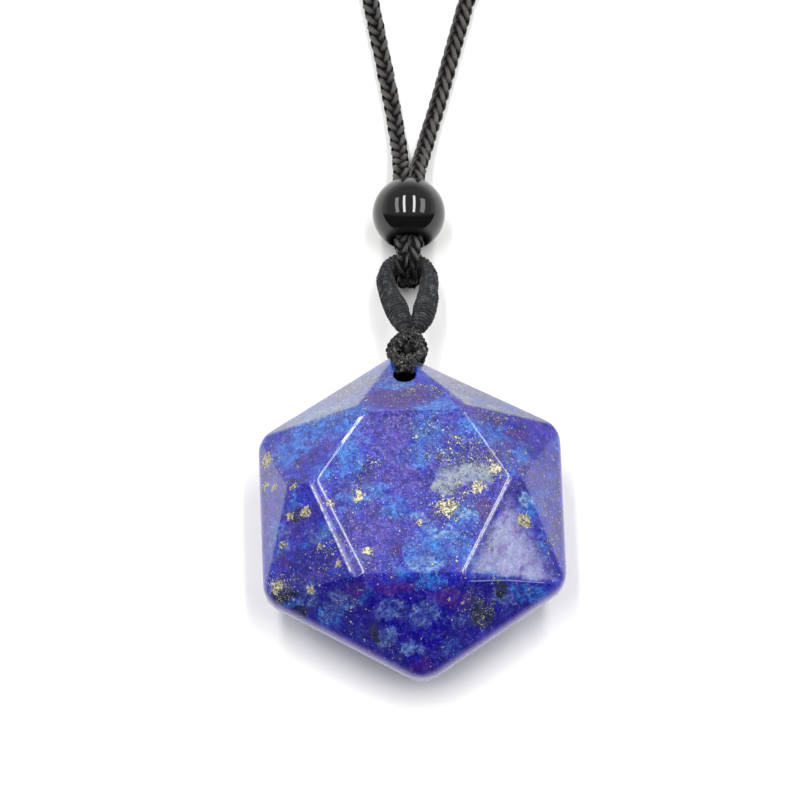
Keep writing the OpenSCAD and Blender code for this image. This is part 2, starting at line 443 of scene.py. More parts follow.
loose = loose[well_inside(loose)]
cells = np.unique(np.round(loose / NEAREST).astype(int), axis=0, return_index=True)[1]
loose = loose[np.sort(cells)]
print("points on the face:", len(loose))


# %% One face as triangles
rim_count, hole_count = len(outline), len(hole_edge)
plan = np.vstack([rim_rows[0][:, :2], hole_rows[0][:, :2], loose])
fences = [(i, (i + 1) % rim_count) for i in range(rim_count)]
fences += [(rim_count + i, rim_count + (i + 1) % hole_count) for i in range(hole_count)]
# Points this near to each other are one, and a triangle whose middle lies within so many radii fills the hole
SAME_PLACE = 1e-5
JUST_OUTSIDE = 1.02
joined, _, triangles, came_from, _, _ = delaunay_2d_cdt(
    [Vector(p) for p in plan], fences, [], 0, SAME_PLACE, True)
joined = np.array([tuple(p) for p in joined])
kept = [t for t in triangles if np.linalg.norm(joined[list(t)].mean(axis=0) - HOLE) > HOLE_RADIUS * JUST_OUTSIDE]
print("triangles on the face:", len(kept), "new points:", sum(not c for c in came_from))


# %% Stone mesh from both faces, the girdle and the hole
def stone_half(flip):
    """Points, normals and faces of one half, mirrored about the stone's middle if flip is -1."""
    z, normal = face_height(joined)
    points, normals = [np.column_stack([joined, z])], [normal]
    faces = [tuple(t) for t in kept]
    place_of = {}
    for index, sources in enumerate(came_from):
        for source in sources:
            place_of[source] = index
    start = len(joined)
    for rows, directions, first, count, inward in (
            (rim_rows, rim_normals, 0, rim_count, False), (hole_rows, hole_normals, rim_count, hole_count, True)):
        above = [place_of[first + i] for i in range(count)]
        for row, direction in zip(rows[1:], directions[1:]):
            points.append(row)
            normals.append(direction)
            below = list(range(start, start + count))
            start += count
            for i in range(count):
                j = (i + 1) % count
                quad = (above[i], below[i], below[j], above[j])
                faces.append(quad[::-1] if inward else quad)
            above = below
    points, normals = np.vstack(points), np.vstack(normals)
    mirror = np.array([1, 1, flip])
    if flip < 0:
        faces = [f[::-1] for f in faces]
    return points * mirror, normals * mirror, faces


def stone_mesh():
    """The whole stone, resting on the table, with the normals of its exact surface."""
    front, front_normals, faces = stone_half(1)
    back, back_normals, back_faces = stone_half(-1)
    size = len(front)
    faces += [tuple(i + size for i in f) for f in back_faces]
    hole_first = size - hole_count
    rim_first = size - (len(hole_rows) - 1) * hole_count - rim_count
    for first, count, inward in ((rim_first, rim_count, False), (hole_first, hole_count, True)):
        for i in range(count):
            j = (i + 1) % count
            quad = (first + i, first + i + size, first + j + size, first + j)
            faces.append(quad[::-1] if inward else quad)
    points = (np.vstack([front, back]) + np.array([0, 0, HALF])) * MM
    mesh = bpy.data.meshes.new("star_cut_stone")
    mesh.from_pydata([tuple(p) for p in points], [], faces)
    mesh.validate()
    mesh.shade_smooth()
    mesh.normals_split_custom_set_from_vertices([tuple(n) for n in np.vstack([front_normals, back_normals])])
    return mesh


stone = in_scene("star_cut_stone", stone_mesh())
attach(stone, "root")
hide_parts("stone")
print("stone:", len(stone.data.vertices), "points,", len(stone.data.polygons), "faces")

# %% [markdown]
# Lapis lazuli is a rock, not a colour: royal blue lazurite drifts into azure, violet and navy, white calcite
# lies in it like cloud, and pyrite is scattered through it as gold dust, flakes and a few big grains. All of it
# is made in the material from the place in the stone, so the pattern runs over every edge without a seam. The
# broad drift comes from noise. The clouds that give this stone its face are soft spots at listed places,
# and a warp of the place keeps their edges ragged.

# %% Colours of the lapis
COLOURS = {
    "deep": (0.002, 0.001, 0.17), "royal": (0.005, 0.014, 0.34), "azure": (0.016, 0.13, 0.46),
    "sky": (0.12, 0.25, 0.48), "violet": (0.055, 0.026, 0.26), "purple": (0.035, 0.007, 0.14),
    "smoke": (0.075, 0.125, 0.32), "mauve": (0.25, 0.27, 0.46), "blush": (0.2, 0.155, 0.39),
    # The girdle colour at the end of the next line is painted light: a pale band where the white table lights the
    # stone's edge from below.
    "calcite": (0.24, 0.29, 0.33), "sugar": (0.3, 0.33, 0.44), "girdle": (0.2, 0.17, 0.4),
    "grey": (0.07, 0.085, 0.09), "dark": (0.004, 0.009, 0.014), "matrix": (0.026, 0.034, 0.07),
    # The pale blue-white at the end of the next line paints highlights along the table's edges.
    "gold": (0.56, 0.52, 0.38), "tarnish": (0.05, 0.047, 0.03), "wear_and_highlight": (0.68, 0.68, 0.8),
    "scratch": (0.4, 0.5, 0.75), "bore": (0.002, 0.002, 0.003),
}
print("colours:", len(COLOURS))

# %% Clouds at listed places
# Millimetres from the middle of the stone's front: across, along, half width, half length. Strength comes last.
SPOTS = {
    "deep": [
        (-5.6, -13.4, 1.6, 1.0, 1.0), (4.4, -14.4, 2.4, 1.4, 1.0), (-11.0, -9.0, 2.0, 1.4, 0.8),
        (5.6, -11.0, 1.8, 0.9, 0.7), (0, -14.5, 11, 5.0, 1.0), (-9.5, -11.0, 6.5, 3.2, 1.0),
        (10, -11.0, 6, 2.8, 1.0), (-10.4, -7.4, 3.4, 2.6, 0.8), (-11.0, -4.2, 2.0, 3.2, 0.5),
        (12.8, 6.6, 2.4, 2.4, 0.4), (14.6, -6.6, 1.2, 2.2, 0.5), (-14.6, 7.6, 2.0, 1.2, 0.4)],
    "azure": [
        (-8.2, 8.4, 5.0, 3.0, 1.0), (-12.4, 5.6, 2.6, 2.4, 0.8), (9.0, 6.4, 2.6, 2.0, 0.7),
        (-1.6, 13.0, 2.6, 1.3, 0.8), (2.8, 9.5, 2.8, 1.7, 0.75), (1.6, 6.9, 2.6, 2.6, 0.7),
        (-3.5, -0.4, 2.4, 1.4, 0.6), (0.6, 3.4, 2.6, 1.8, 0.8), (-6.2, -1.4, 1.8, 1.8, 0.6),
        (-1.8, -2.4, 2.2, 1.0, 0.7), (1.4, -6.8, 3.0, 1.5, 0.85), (5.6, -2.6, 2.4, 1.9, 0.95),
        (3.4, -5.8, 3.6, 2.6, 0.85), (-6.6, 3.4, 2.2, 3.0, 0.7), (1.9, -9.9, 1.7, 0.9, 0.95),
        (11.5, 4.9, 1.4, 1.8, 0.7), (12.0, -1.4, 1.2, 1.4, 0.8), (-8.3, -12.2, 2.0, 1.0, 0.7),
        (-12.7, -10.5, 1.8, 0.6, 0.6), (12.0, -9.4, 3.2, 0.9, 0.8), (8.6, -8.3, 2.2, 0.7, 0.8),
        (6.4, 6.6, 2.4, 2.0, 0.6), (14.0, -4.6, 1.0, 2.4, 0.6), (-4.4, -10.9, 1.4, 0.7, 0.5),
        (4.5, -15.4, 1.8, 1.0, 0.5)],
    "sky": [
        (-2.8, -14.8, 1.1, 0.5, 0.8), (2.4, -12.7, 1.1, 0.45, 0.85), (-0.4, -15.6, 1.0, 0.5, 0.7),
        (-6.4, -11.6, 0.9, 0.4, 0.6), (1.4, -8.2, 2.2, 1.3, 0.9), (5.9, -2.7, 1.3, 1.0, 0.7),
        (-5.8, 0.4, 1.6, 2.2, 0.35), (3.4, -4.6, 2.4, 1.6, 0.6), (-8.6, 9.6, 3.0, 1.2, 0.45),
        (11.9, -0.4, 0.7, 0.9, 0.7), (-6.6, 5.4, 1.0, 2.0, 0.4), (-0.2, -3.0, 2.6, 0.5, 0.4),
        (13.2, -3.4, 0.5, 1.8, 0.5)],
    "violet": [
        (-2.5, 7.0, 3.6, 3.2, 0.85), (-1.0, 1.5, 3.4, 3.0, 0.6), (-3.6, -5.0, 3.6, 3.2, 0.65),
        (-11.5, -3.0, 3.0, 3.0, 0.5), (15.3, -3.0, 2.0, 4.0, 0.6), (-15.3, 0.0, 2.0, 6.0, 0.45),
        (9.6, 0.4, 1.4, 2.6, 0.5), (3.4, -11.5, 2.6, 1.2, 0.5), (-10.2, -8.4, 2.6, 1.4, 0.5)],
    "smoke": [
        (-13.6, -4.4, 1.8, 2.4, 0.7), (-9.6, -4.6, 1.8, 1.3, 0.6), (1.4, -12.7, 2.4, 1.1, 1.0),
        (-2.0, -12.2, 2.0, 1.0, 1.0), (-7.2, -11.0, 2.0, 1.0, 0.8), (9.4, -10.0, 1.6, 1.4, 0.8),
        (-2.6, -14.7, 1.6, 0.9, 1.0), (0.6, -16.0, 1.6, 0.6, 1.0), (-0.6, -15.2, 1.0, 0.5, 0.7),
        (-10.2, -10.6, 1.4, 0.8, 0.7), (-8.3, -12.0, 1.4, 0.6, 0.7), (-14.9, 3.0, 1.4, 2.5, 0.4),
        (-5.2, -7.2, 2.2, 1.6, 0.5), (-10.6, -9.6, 2.0, 1.2, 0.6), (3.6, -16.2, 1.6, 1.2, 0.5),
        (5.6, -12.8, 1.4, 1.0, 0.5)],
    "purple": [
        (-1.4, 10.9, 4.2, 1.6, 0.95), (-11.4, 4.0, 1.3, 0.8, 0.5), (-1.4, -6.3, 1.0, 1.0, 0.7),
        (7.6, -2.2, 1.2, 1.6, 0.7), (9.5, 8.7, 1.0, 0.7, 0.75), (11.1, 7.3, 1.8, 0.8, 0.8),
        (10.1, 5.6, 0.8, 1.0, 0.6), (-12.9, -6.2, 1.1, 1.3, 0.6), (-1.8, -10.4, 2.6, 0.7, 0.7),
        (4.3, -11.2, 2.4, 0.9, 0.7), (0.6, -17.3, 1.8, 0.9, 0.7), (-0.2, 5.0, 1.0, 1.2, 0.45),
        (-5.6, -10.3, 1.6, 0.7, 0.7), (-9.4, -1.2, 1.2, 1.0, 0.4)],
    "calcite": [
        (5.0, 1.7, 2.8, 1.6, 1.0), (6.8, 1.9, 2.5, 1.5, 0.95), (3.5, 0.4, 1.9, 1.3, 0.95),
        (8.0, 1.7, 1.3, 1.0, 0.6), (11.6, -0.8, 0.6, 0.5, 0.6), (5.0, -2.0, 0.9, 0.4, 0.5),
        (5.4, 11.4, 1.8, 0.8, 0.6), (8.6, 10.7, 2.2, 0.7, 0.5)],
    "dark": [
        (-13.2, -9.5, 1.5, 1.2, 0.95), (-11.2, -11.2, 1.5, 0.7, 0.9), (-3.9, -13.9, 0.8, 1.0, 0.95),
        (7.1, -12.0, 1.6, 1.3, 0.95), (9.2, -9.7, 0.9, 0.9, 0.85), (-11.4, -1.9, 1.7, 1.1, 0.65),
        (-12.3, 1.5, 0.7, 0.5, 0.6), (3.6, -1.7, 1.5, 1.2, 0.5), (11.7, -2.6, 1.1, 1.0, 0.4)],
}
print("clouds:", {kind: len(spots) for kind, spots in SPOTS.items()})

# %% Gold, scratches, painted edge highlights and special facets
# across, along, half width, half length of the big grains; the dust lies thick in areas that also have a strength
GRAINS = [
    (3.7, -1.9, 1.5, 1.2), (6.9, 0.3, 1.2, 0.8), (11.7, -2.6, 0.95, 0.95), (-5.4, -0.7, 0.8, 0.8),
    (-4.4, -6.7, 0.6, 0.5), (-7.4, -7.7, 0.4, 0.4), (-10.7, -1.9, 0.7, 0.6), (-12.4, -2.0, 0.5, 0.4),
    (-13.2, -4.6, 0.5, 0.35), (-9.3, -5.7, 0.4, 0.35), (-15.0, 5.3, 0.7, 1.0), (-15.1, 2.6, 0.5, 0.5),
    (-14.1, 1.8, 0.4, 0.35), (-12.0, 0.9, 0.5, 0.35), (-10.2, -9.7, 0.5, 0.45), (8.6, 2.3, 0.9, 0.7),
    (-13.7, -8.6, 1.0, 0.8), (1.0, -3.6, 0.5, 0.4), (-8.2, -1.4, 0.5, 0.5)]
DUST = [
    (5.2, 4.2, 4.6, 2.4, 1.3), (8.6, 8.9, 3.6, 1.6, 0.9), (-7.0, 14.0, 7.0, 1.6, 0.9),
    (7.4, 14.0, 7.0, 1.6, 0.7), (0.8, 12.2, 4.6, 1.8, 0.95), (-4.3, 1.2, 2.0, 2.6, 0.6),
    (8.3, 3.6, 2.6, 2.4, 1.4), (-9.5, 10.0, 5.0, 1.8, 0.6), (15.0, 0.0, 1.6, 7.0, 0.7),
    (-13.5, -8.8, 2.4, 2.0, 0.9), (4.6, -1.0, 3.2, 2.4, 0.8), (6.5, -6.0, 2.6, 2.6, 0.45),
    (-15.0, 4.0, 1.3, 3.6, 0.6), (7.4, -11.6, 2.2, 1.8, 0.6), (2.2, 6.6, 2.6, 1.6, 0.5),
    (-8.0, -6.6, 2.6, 2.6, 0.45), (-4.0, -7.6, 3.0, 1.2, 0.5), (11.6, 3.0, 1.8, 3.4, 0.6)]
# start, end, half width and strength of the painted highlights along edges; scratches have no strength of their
# own
EDGE_HIGHLIGHTS = [
    (*NARROW_ENDS, 0.12, 0.75), ((-5.0, 8.4), (-7.2, 5.05), 0.15, 1.0), ((5.4, -8.9), (10.3, 1.4), 0.065, 0.75),
    ((10.3, 1.4), (5.5, 8.9), 0.06, 0.5), ((-7.2, 5.05), (-9.6, 1.2), 0.05, 0.5)]
SCRATCHES = [
    ((5.8, -9.75), (9.9, -8.85), 0.05), ((9.6, -8.9), (14.0, -8.3), 0.04), ((-5.6, -10.4), (-4.6, -10.6), 0.05)]
# corners in plan, against the clock: the star facet with the painted reflection, and the two side facets at the
# top with their haze
PAINTED_REFLECTION_FACET = [table[5][:2], girdle[5][:2], table[0][:2]]
GREY_FACETS = [([girdle[0][:2], girdle[1][:2], tips[1][:2]], 0.65),
               ([girdle[1][:2], girdle[2][:2], tips[2][:2]], 0.4)]
print("grains:", len(GRAINS), "dust areas:", len(DUST), "worn edges:", len(EDGE_HIGHLIGHTS), "scratches:", len(SCRATCHES))

# %% [markdown]
# A mask is a number from 0 to 1 at every place: how far one colour lies over another. Soft round spots, ragged
# clouds, scattered grains, fine lines and whole facets are each one helper. They are plain Math and Vector Math
# nodes on the place, so they turn out the same in the render and in a baked copy.

# %% Helpers for masks
def sums(tree, operation, *values):
    """One Math node, by operation, on one to three values."""
    return add(tree, "Math", dict(enumerate(values)), operation=operation).outputs[0]


def times(tree, first, *others):
    """A product."""
    for other in others:
        first = sums(tree, "MULTIPLY", first, other)
    return first


def vectors(tree, operation, *values):
    """One Vector Math node, by operation. A scale goes last."""
    inputs = dict(enumerate(values))
    if operation == "SCALE":
        inputs["Scale"] = inputs.pop(1)
    result = "Value" if operation in ("LENGTH", "DISTANCE", "DOT_PRODUCT") else "Vector"
    return add(tree, "VectorMath", inputs, operation=operation).outputs[result]


def split(tree, place):
    """X, Y and Z of a place."""
    return add(tree, "SeparateXYZ", {"Vector": place}).outputs


def patches(tree, place, grain, *step):
    """Noise of a grain (scale, detail, roughness), put through a soft step."""
    return step_up(tree, noise(tree, place, *grain), *step)


def warped(tree, place, scale, reach, detail=2.0):
    """The place, pushed about by noise as far as reach."""
    push = add(tree, "TexNoise", {"Vector": place, "Scale": scale, "Detail": detail}).outputs["Color"]
    push = vectors(tree, "SCALE", vectors(tree, "SUBTRACT", push, (0.5, 0.5, 0.5)), reach)
    return vectors(tree, "ADD", place, push)


# %% Clouds and grains
# A spot's middle lies this high in the stone, and it fades this far above and below, before the back
SPOT_HEIGHT, SPOT_DEPTH = 11.5, 9


def spot(tree, place, across, along, half_width, half_length, strength=1.0):
    """A soft round mask about a place on the stone's front."""
    shifted = vectors(tree, "SUBTRACT", place, (across, along, SPOT_HEIGHT))
    squeezed = vectors(tree, "MULTIPLY", shifted, (1 / half_width, 1 / half_length, 1 / SPOT_DEPTH))
    return step_up(tree, vectors(tree, "LENGTH", squeezed), 0.3, 1.35, strength, 0.0)


def strongest(tree, masks):
    """The highest of several masks."""
    whole = masks[0]
    for mask in masks[1:]:
        whole = sums(tree, "MAXIMUM", whole, mask)
    return whole


def ragged_mask(tree, masks, grit, raggedness, full):
    """The strongest of the masks, with an edge torn by the grit. full is where it covers wholly."""
    torn = sums(tree, "MULTIPLY_ADD", sums(tree, "SUBTRACT", grit, 0.5), raggedness, strongest(tree, masks))
    return step_up(tree, torn, 0.26, full)


def grains_of(tree, place, scale, chance, smallest, largest):
    """Scattered grains, one to a Voronoi cell where its own random number is under the chance."""
    cell = add(tree, "TexVoronoi", {"Vector": place, "Scale": scale})
    luck = add(tree, "SeparateColor", {"Color": cell.outputs["Color"]}).outputs
    size = step_up(tree, luck[1], 0.0, 1.0, smallest, largest)
    grain = step_up(tree, sums(tree, "SUBTRACT", size, cell.outputs["Distance"]), 0.0, 0.05)
    return times(tree, grain, sums(tree, "LESS_THAN", luck[0], chance))


# %% Lines and facets
# A line fades out over this length at each end
LINE_FADE = 0.5


def line_mask(tree, place, start, end, half_width):
    """A fine line on the front, from start to end."""
    start, end = Vector((*start, 0)), Vector((*end, 0))
    along, half = (end - start).normalized(), (end - start).length / 2
    away = vectors(tree, "SUBTRACT", place, start)
    run = vectors(tree, "DOT_PRODUCT", away, along)
    side = vectors(tree, "DOT_PRODUCT", away, (-along.y, along.x, 0))
    past = sums(tree, "ABSOLUTE", sums(tree, "SUBTRACT", run, half))
    held = step_up(tree, past, half - LINE_FADE, half, 1.0, 0.0)
    beside = sums(tree, "ABSOLUTE", side)
    return times(tree, held, step_up(tree, beside, half_width * 0.3, half_width * 1.4, 1.0, 0.0))


def inside(tree, place, corners, depths):
    """A mask of the area between corners, given against the clock. Each edge has two depths: where it starts, and
    where it is full."""
    mask = 1.0
    for a, b, (low, high) in zip(corners, corners[1:] + corners[:1], depths):
        inward = unit(np.array([a[1] - b[1], b[0] - a[0]]))
        depth = vectors(tree, "DOT_PRODUCT", place, (*inward, 0))
        depth = step_up(tree, sums(tree, "SUBTRACT", depth, float(inward @ a)), low, high)
        mask = times(tree, depth, mask)
    return mask


# %% Lapis: blues, violets and clouds
# How much an edge is torn and where a cloud is full; some clouds are also broken up by a coarse noise
TORN = (2.2, 0.66)
TORN_OTHERWISE = {"calcite": (1.6, 0.9), "smoke": (1.9, 0.8)}
BROKEN_UP = ("smoke", "azure", "sky", "violet")


def cloud_colours(tree, place, drift, ragged):
    """Blue that drifts, the clouds set by hand, and wisps, flecks and veins over both."""
    broad = noise(tree, drift, 0.34, 8, 0.7)
    colour = tint(tree, step_up(tree, broad, 0.4, 0.5), COLOURS["deep"], COLOURS["royal"])
    colour = tint(tree, step_up(tree, broad, 0.53, 0.64), colour, COLOURS["azure"])
    colour = tint(tree, patches(tree, drift, (0.26, 8, 0.7), 0.46, 0.64, 0.0, 0.8), colour, COLOURS["violet"])
    grit = noise(tree, ragged, 0.8, 8, 0.74)
    broken = patches(tree, ragged, (1.1, 6, 0.8), 0.43, 0.54, 0.15, 1.0)
    for kind, spots in SPOTS.items():
        masks = [spot(tree, ragged, *one) for one in spots]
        mask = ragged_mask(tree, masks, grit, *TORN_OTHERWISE.get(kind, TORN))
        if kind in BROKEN_UP:
            mask = times(tree, mask, broken)
        colour = tint(tree, mask, colour, COLOURS[kind])
    for kind, where, grain, step in (("smoke", ragged, (1.2, 8, 0.8), (0.52, 0.68, 0.0, 0.6)),
                                     ("violet", place, (2.2, 5, 0.85), (0.5, 0.62, 0.0, 0.6)),
                                     ("deep", ragged, (1.6, 5, 0.8), (0.38, 0.5, 0.7, 0.0))):
        colour = tint(tree, patches(tree, where, grain, *step), colour, COLOURS[kind])
    return colour


# %% Lapis: pale facets and crystal
def facet_colours(tree, place, ragged, colour):
    """The lower right star facet painted pale mauve as a painted reflection, and the grey haze on the two side
    facets at the top.
    """
    # Painted reflection: the lower right star facet is painted pale mauve and blush for the bright light it
    # mirrors.
    pale = inside(tree, warped(tree, place, 0.7, 1.2), PAINTED_REFLECTION_FACET, [(-0.2, 0.6), (0.1, 3.0), (0.0, 1.4)])
    pale = times(tree, pale, inside(tree, place, PAINTED_REFLECTION_FACET, [(-0.1, 0.1)] * 3))
    pale = times(tree, pale, patches(tree, ragged, (0.8, 6, 0.7), 0.34, 0.5, 0.66, 1.0))
    blush = tint(tree, patches(tree, ragged, (0.55, 5, 0.7), 0.5, 0.66), COLOURS["mauve"], COLOURS["blush"])
    colour = tint(tree, pale, colour, blush)
    for corners, strength in GREY_FACETS:
        haze = inside(tree, place, corners, [(-0.3, 0.2)] * 3)
        haze = times(tree, haze, patches(tree, ragged, (0.5, 6, 0.7), 0.36, 0.6, 0.3, strength))
        colour = tint(tree, haze, colour, COLOURS["grey"])
    return colour


# The steps over which the sugar grain comes in: along the stone at the table's foot, and up to the table's level
TABLE_FOOT, TABLE_LEVEL = (-9.6, -8.0), (13.4, 13.85)


def crystal_colours(tree, place, ragged, colour):
    """White sugar grain, strongest on the table, and the light and dark of single crystals."""
    spread = split(tree, place)
    sugar = patches(tree, place, (4.4, 4, 0.9), 0.52, 0.62, 0.0, 0.3)
    sugar = times(tree, sugar, step_up(tree, spread["Y"], *TABLE_FOOT, 0.3, 1.0))
    sugar = times(tree, sugar, step_up(tree, spread["Z"], *TABLE_LEVEL, 0.35, 1.25))
    colour = tint(tree, sugar, colour, COLOURS["sugar"])
    crystal = patches(tree, place, (3.4, 4, 0.85), 0.38, 0.64, 0.6, 1.45)
    crystal = times(tree, crystal, patches(tree, ragged, (1.4, 6, 0.75), 0.38, 0.62, 0.55, 1.45))
    bluer = sums(tree, "MULTIPLY_ADD", crystal, 0.6, 0.4)
    crystal = add(tree, "CombineXYZ", {"X": crystal, "Y": crystal, "Z": bluer}).outputs[0]
    brightness = add(tree, "SeparateColor", {"Color": colour}).outputs["Red"]
    return tint(tree, step_up(tree, brightness, 0.08, 0.2, 1.0, 0.4), colour, crystal, "MULTIPLY")


# %% Lapis: gold
def gold_masks(tree, place, drift, ragged):
    """Where gold lies, in three sizes of grain and in lumps, and the dark murk that goes with it."""
    chance = sums(tree, "MULTIPLY_ADD", strongest(tree, [spot(tree, ragged, *one) for one in DUST]), 0.8,
                  patches(tree, drift, (0.4, 4), 0.42, 0.7, 0.02, 0.2))
    chance = times(tree, chance, patches(tree, place, (0.9, 5, 0.75), 0.42, 0.6, 0.15, 1.7))
    murk = times(tree, chance, patches(tree, place, (2.6, 4, 0.8), 0.42, 0.6, 0.0, 0.85))
    finest = grains_of(tree, warped(tree, place, 6.0, 0.12), 6.4, chance, 0.16, 0.44)
    fine = grains_of(tree, warped(tree, place, 5.0, 0.16), 3.6, times(tree, chance, 0.7), 0.12, 0.4)
    flake = grains_of(tree, warped(tree, place, 3.2, 0.5), 1.5, times(tree, chance, 0.3), 0.1, 0.3)
    pushed = warped(tree, place, 2.4, 1.1)
    lumps = strongest(tree, [spot(tree, pushed, *one) for one in GRAINS])
    torn = sums(tree, "SUBTRACT", noise(tree, place, 2.6, 6, 0.85), 0.5)
    lumps = step_up(tree, sums(tree, "MULTIPLY_ADD", torn, 3.4, lumps), 0.54, 0.6)
    return strongest(tree, [finest, fine, flake, lumps]), murk


# %% Lapis: painted edge highlights, scratches, painted girdle light and hole
def edge_highlight_and_scratch_colours(tree, place, colour):
    """Painted highlights: pale lines along edges where the lamps' lines fall. Also a few scratches."""
    # Painted highlight: the edges are painted pale where the lamps' lines fall on them.
    wear_and_highlight = strongest(tree, [times(tree, line_mask(tree, place, *one[:3]), one[3]) for one in EDGE_HIGHLIGHTS])
    wear_and_highlight = times(tree, wear_and_highlight, patches(tree, place, (2.2, 4, 0.8), 0.4, 0.56, 0.25, 1.0))
    colour = tint(tree, wear_and_highlight, colour, COLOURS["wear_and_highlight"])
    lines = strongest(tree, [line_mask(tree, place, *one) for one in SCRATCHES])
    return tint(tree, times(tree, lines, 0.4), colour, COLOURS["scratch"])


def hole_mask(tree, place):
    """The hole's wall, which is dark because no light gets in."""
    from_hole = vectors(tree, "MULTIPLY", vectors(tree, "SUBTRACT", place, (*HOLE, 0)), (1, 1, 0))
    from_hole = vectors(tree, "LENGTH", from_hole)
    return step_up(tree, from_hole, HOLE_RADIUS + 0.04, HOLE_RADIUS + 0.16, 1.0, 0.0)


# %% Lapis put together
# The dull flank at the upper right: across, along, half width, half length
DULL_FLANK = (12.5, 12.0, 12.0, 8.0)


def lapis_material():
    """Stone under a clear polish, which is missing in the hole, and thin on gold and on the dull flank."""
    material, tree, shader = new_material("lapis")
    place = millimetres(tree)
    drift = warped(tree, place, 0.3, 3.2, 3.0)
    ragged = warped(tree, warped(tree, place, 0.5, 2.0, 4.0), 1.9, 1.0, 4.0)
    colour = cloud_colours(tree, place, drift, ragged)
    colour = facet_colours(tree, place, ragged, colour)
    colour = crystal_colours(tree, place, ragged, colour)
    gold, murk = gold_masks(tree, place, drift, ragged)
    colour = tint(tree, murk, colour, COLOURS["matrix"])
    tarnish = patches(tree, place, (4.5, 4, 0.85), 0.45, 0.57)
    colour = tint(tree, gold, colour, tint(tree, tarnish, COLOURS["tarnish"], COLOURS["gold"]))
    colour = edge_highlight_and_scratch_colours(tree, place, colour)
    # Painted light: a pale lavender band along the girdle, for the light that the white table throws up onto it.
    level = sums(tree, "ABSOLUTE", sums(tree, "SUBTRACT", split(tree, place)["Z"], HALF))
    colour = tint(tree, step_up(tree, level, 0.5, 1.25, 0.75, 0.0), colour, COLOURS["girdle"])
    wall = hole_mask(tree, place)
    film = spot(tree, place, *DULL_FLANK)
    film = times(tree, film, step_up(tree, level, 5.6, 6.2, 0.8, 0.0))
    unpolished = sums(tree, "MAXIMUM", sums(tree, "MAXIMUM", times(tree, gold, 0.6), wall), film)
    grain = times(tree, gold, noise(tree, place, 7.0, 2))
    relief = add(tree, "Bump", {"Height": grain, "Strength": 0.7, "Distance": 0.05 * MM}).outputs[0]
    polish = patches(tree, place, (1.2, 4), 0.3, 0.7, 0.24, 0.36)
    for key, value in (("Base Color", tint(tree, wall, colour, COLOURS["bore"])),
                       ("Metallic", times(tree, gold, 0.3)),
                       ("Roughness", sums(tree, "MULTIPLY_ADD", gold, 0.15, polish)),
                       ("Normal", relief), ("Coat Normal", relief),
                       ("Coat Weight", sums(tree, "SUBTRACT", 1.0, unpolished)),
                       ("Coat Roughness", 0.06), ("Coat IOR", 1.42), ("IOR", 1.5), ("Specular IOR Level", 0.22)):
        plug(tree, shader.inputs[key], value)
    return material


lapis = lapis_material()
stone.data.materials.append(lapis)
print("lapis nodes:", len(lapis.node_tree.nodes))

# %% [markdown]
# Every cord here is made of smaller strands, so its line comes first. A line is a list of places in
# millimetres, made smooth, with a direction and a side direction at each place. The side direction turns as
# little as it can, so that a braid doesn't twist where the cord only bends.

# %% Lines for the cords
def smooth_line(stations, step):
    """A smooth line through the stations, with points about step apart. A fourth number rides along."""
    stations = np.array(stations, float)
    found = []
    for i in range(len(stations) - 1):
        p0, p1 = stations[max(i - 1, 0)], stations[i]
        p2, p3 = stations[i + 1], stations[min(i + 2, len(stations) - 1)]
        pieces = max(1, round(np.linalg.norm((p2 - p1)[:3]) / step))
        for s in range(pieces):
            t = s / pieces
            found.append(0.5 * (2 * p1 + (p2 - p0) * t + (2 * p0 - 5 * p1 + 4 * p2 - p3) * t ** 2
                                + (3 * p1 - p0 - 3 * p2 + p3) * t ** 3))
    found.append(stations[-1])
    return np.array(found)


def line_frames(line, start, first_side):
    """Direction and side direction at each point, carried both ways from point start."""
    places = line[:, :3]
    along = np.gradient(places, axis=0)
    along = along / np.linalg.norm(along, axis=1, keepdims=True)
    side = np.zeros_like(along)
    carried = unit(np.cross(first_side, along[start]))
    side[start] = carried
    for indices in (range(start + 1, len(line)), range(start - 1, -1, -1)):
        carried = side[start]
        for i in indices:
            carried = unit(carried - (carried @ along[i]) * along[i])
            side[i] = carried
    run = np.concatenate([[0], np.cumsum(np.linalg.norm(np.diff(places, axis=0), axis=1))])
    return along, side, run


def line_object(name, line, thick, roll, start=0, first_side=(0, 0, 1)):
    """A chain of edges along the line that carries what the node trees need at each point."""
    along, side, run = line_frames(line, start, np.array(first_side, float))
    mesh = bpy.data.meshes.new(name)
    mesh.from_pydata([tuple(p) for p in line[:, :3] * MM], [(i, i + 1) for i in range(len(line) - 1)], [])
    for key, kind, values in (("along", "FLOAT_VECTOR", along), ("side", "FLOAT_VECTOR", side),
                              ("run", "FLOAT", run * MM), ("thick", "FLOAT", thick), ("roll", "FLOAT", roll)):
        field = "vector" if kind == "FLOAT_VECTOR" else "value"
        mesh.attributes.new(key, kind, "POINT").data.foreach_set(field, np.ravel(values).astype(np.float32))
    return in_scene(name, mesh), run[-1]


print("a bend through 3 stations:", len(smooth_line([(0, 0, 0), (5, 1, 0), (10, 0, 0)], 1.0)), "points")

# %% [markdown]
# Geometry Nodes repeat a stitch along such a line. The trees are built with the helpers below: one makes a
# tree with named inputs, one gives a modifier its values, and one turns the result into a plain mesh, because
# a saved model keeps no instances.

# %% Helpers for geometry nodes
def new_tree(name, inputs):
    """A Geometry Nodes tree with a mesh in, a mesh out and the named inputs."""
    tree = bpy.data.node_groups.new(name, "GeometryNodeTree")
    tree.interface.new_socket("Geometry", in_out="INPUT", socket_type="NodeSocketGeometry")
    for label, kind in inputs:
        tree.interface.new_socket(label, in_out="INPUT", socket_type="NodeSocket" + kind)
    tree.interface.new_socket("Geometry", in_out="OUTPUT", socket_type="NodeSocketGeometry")
    return tree, tree.nodes.new("NodeGroupInput").outputs, tree.nodes.new("NodeGroupOutput").inputs[0]


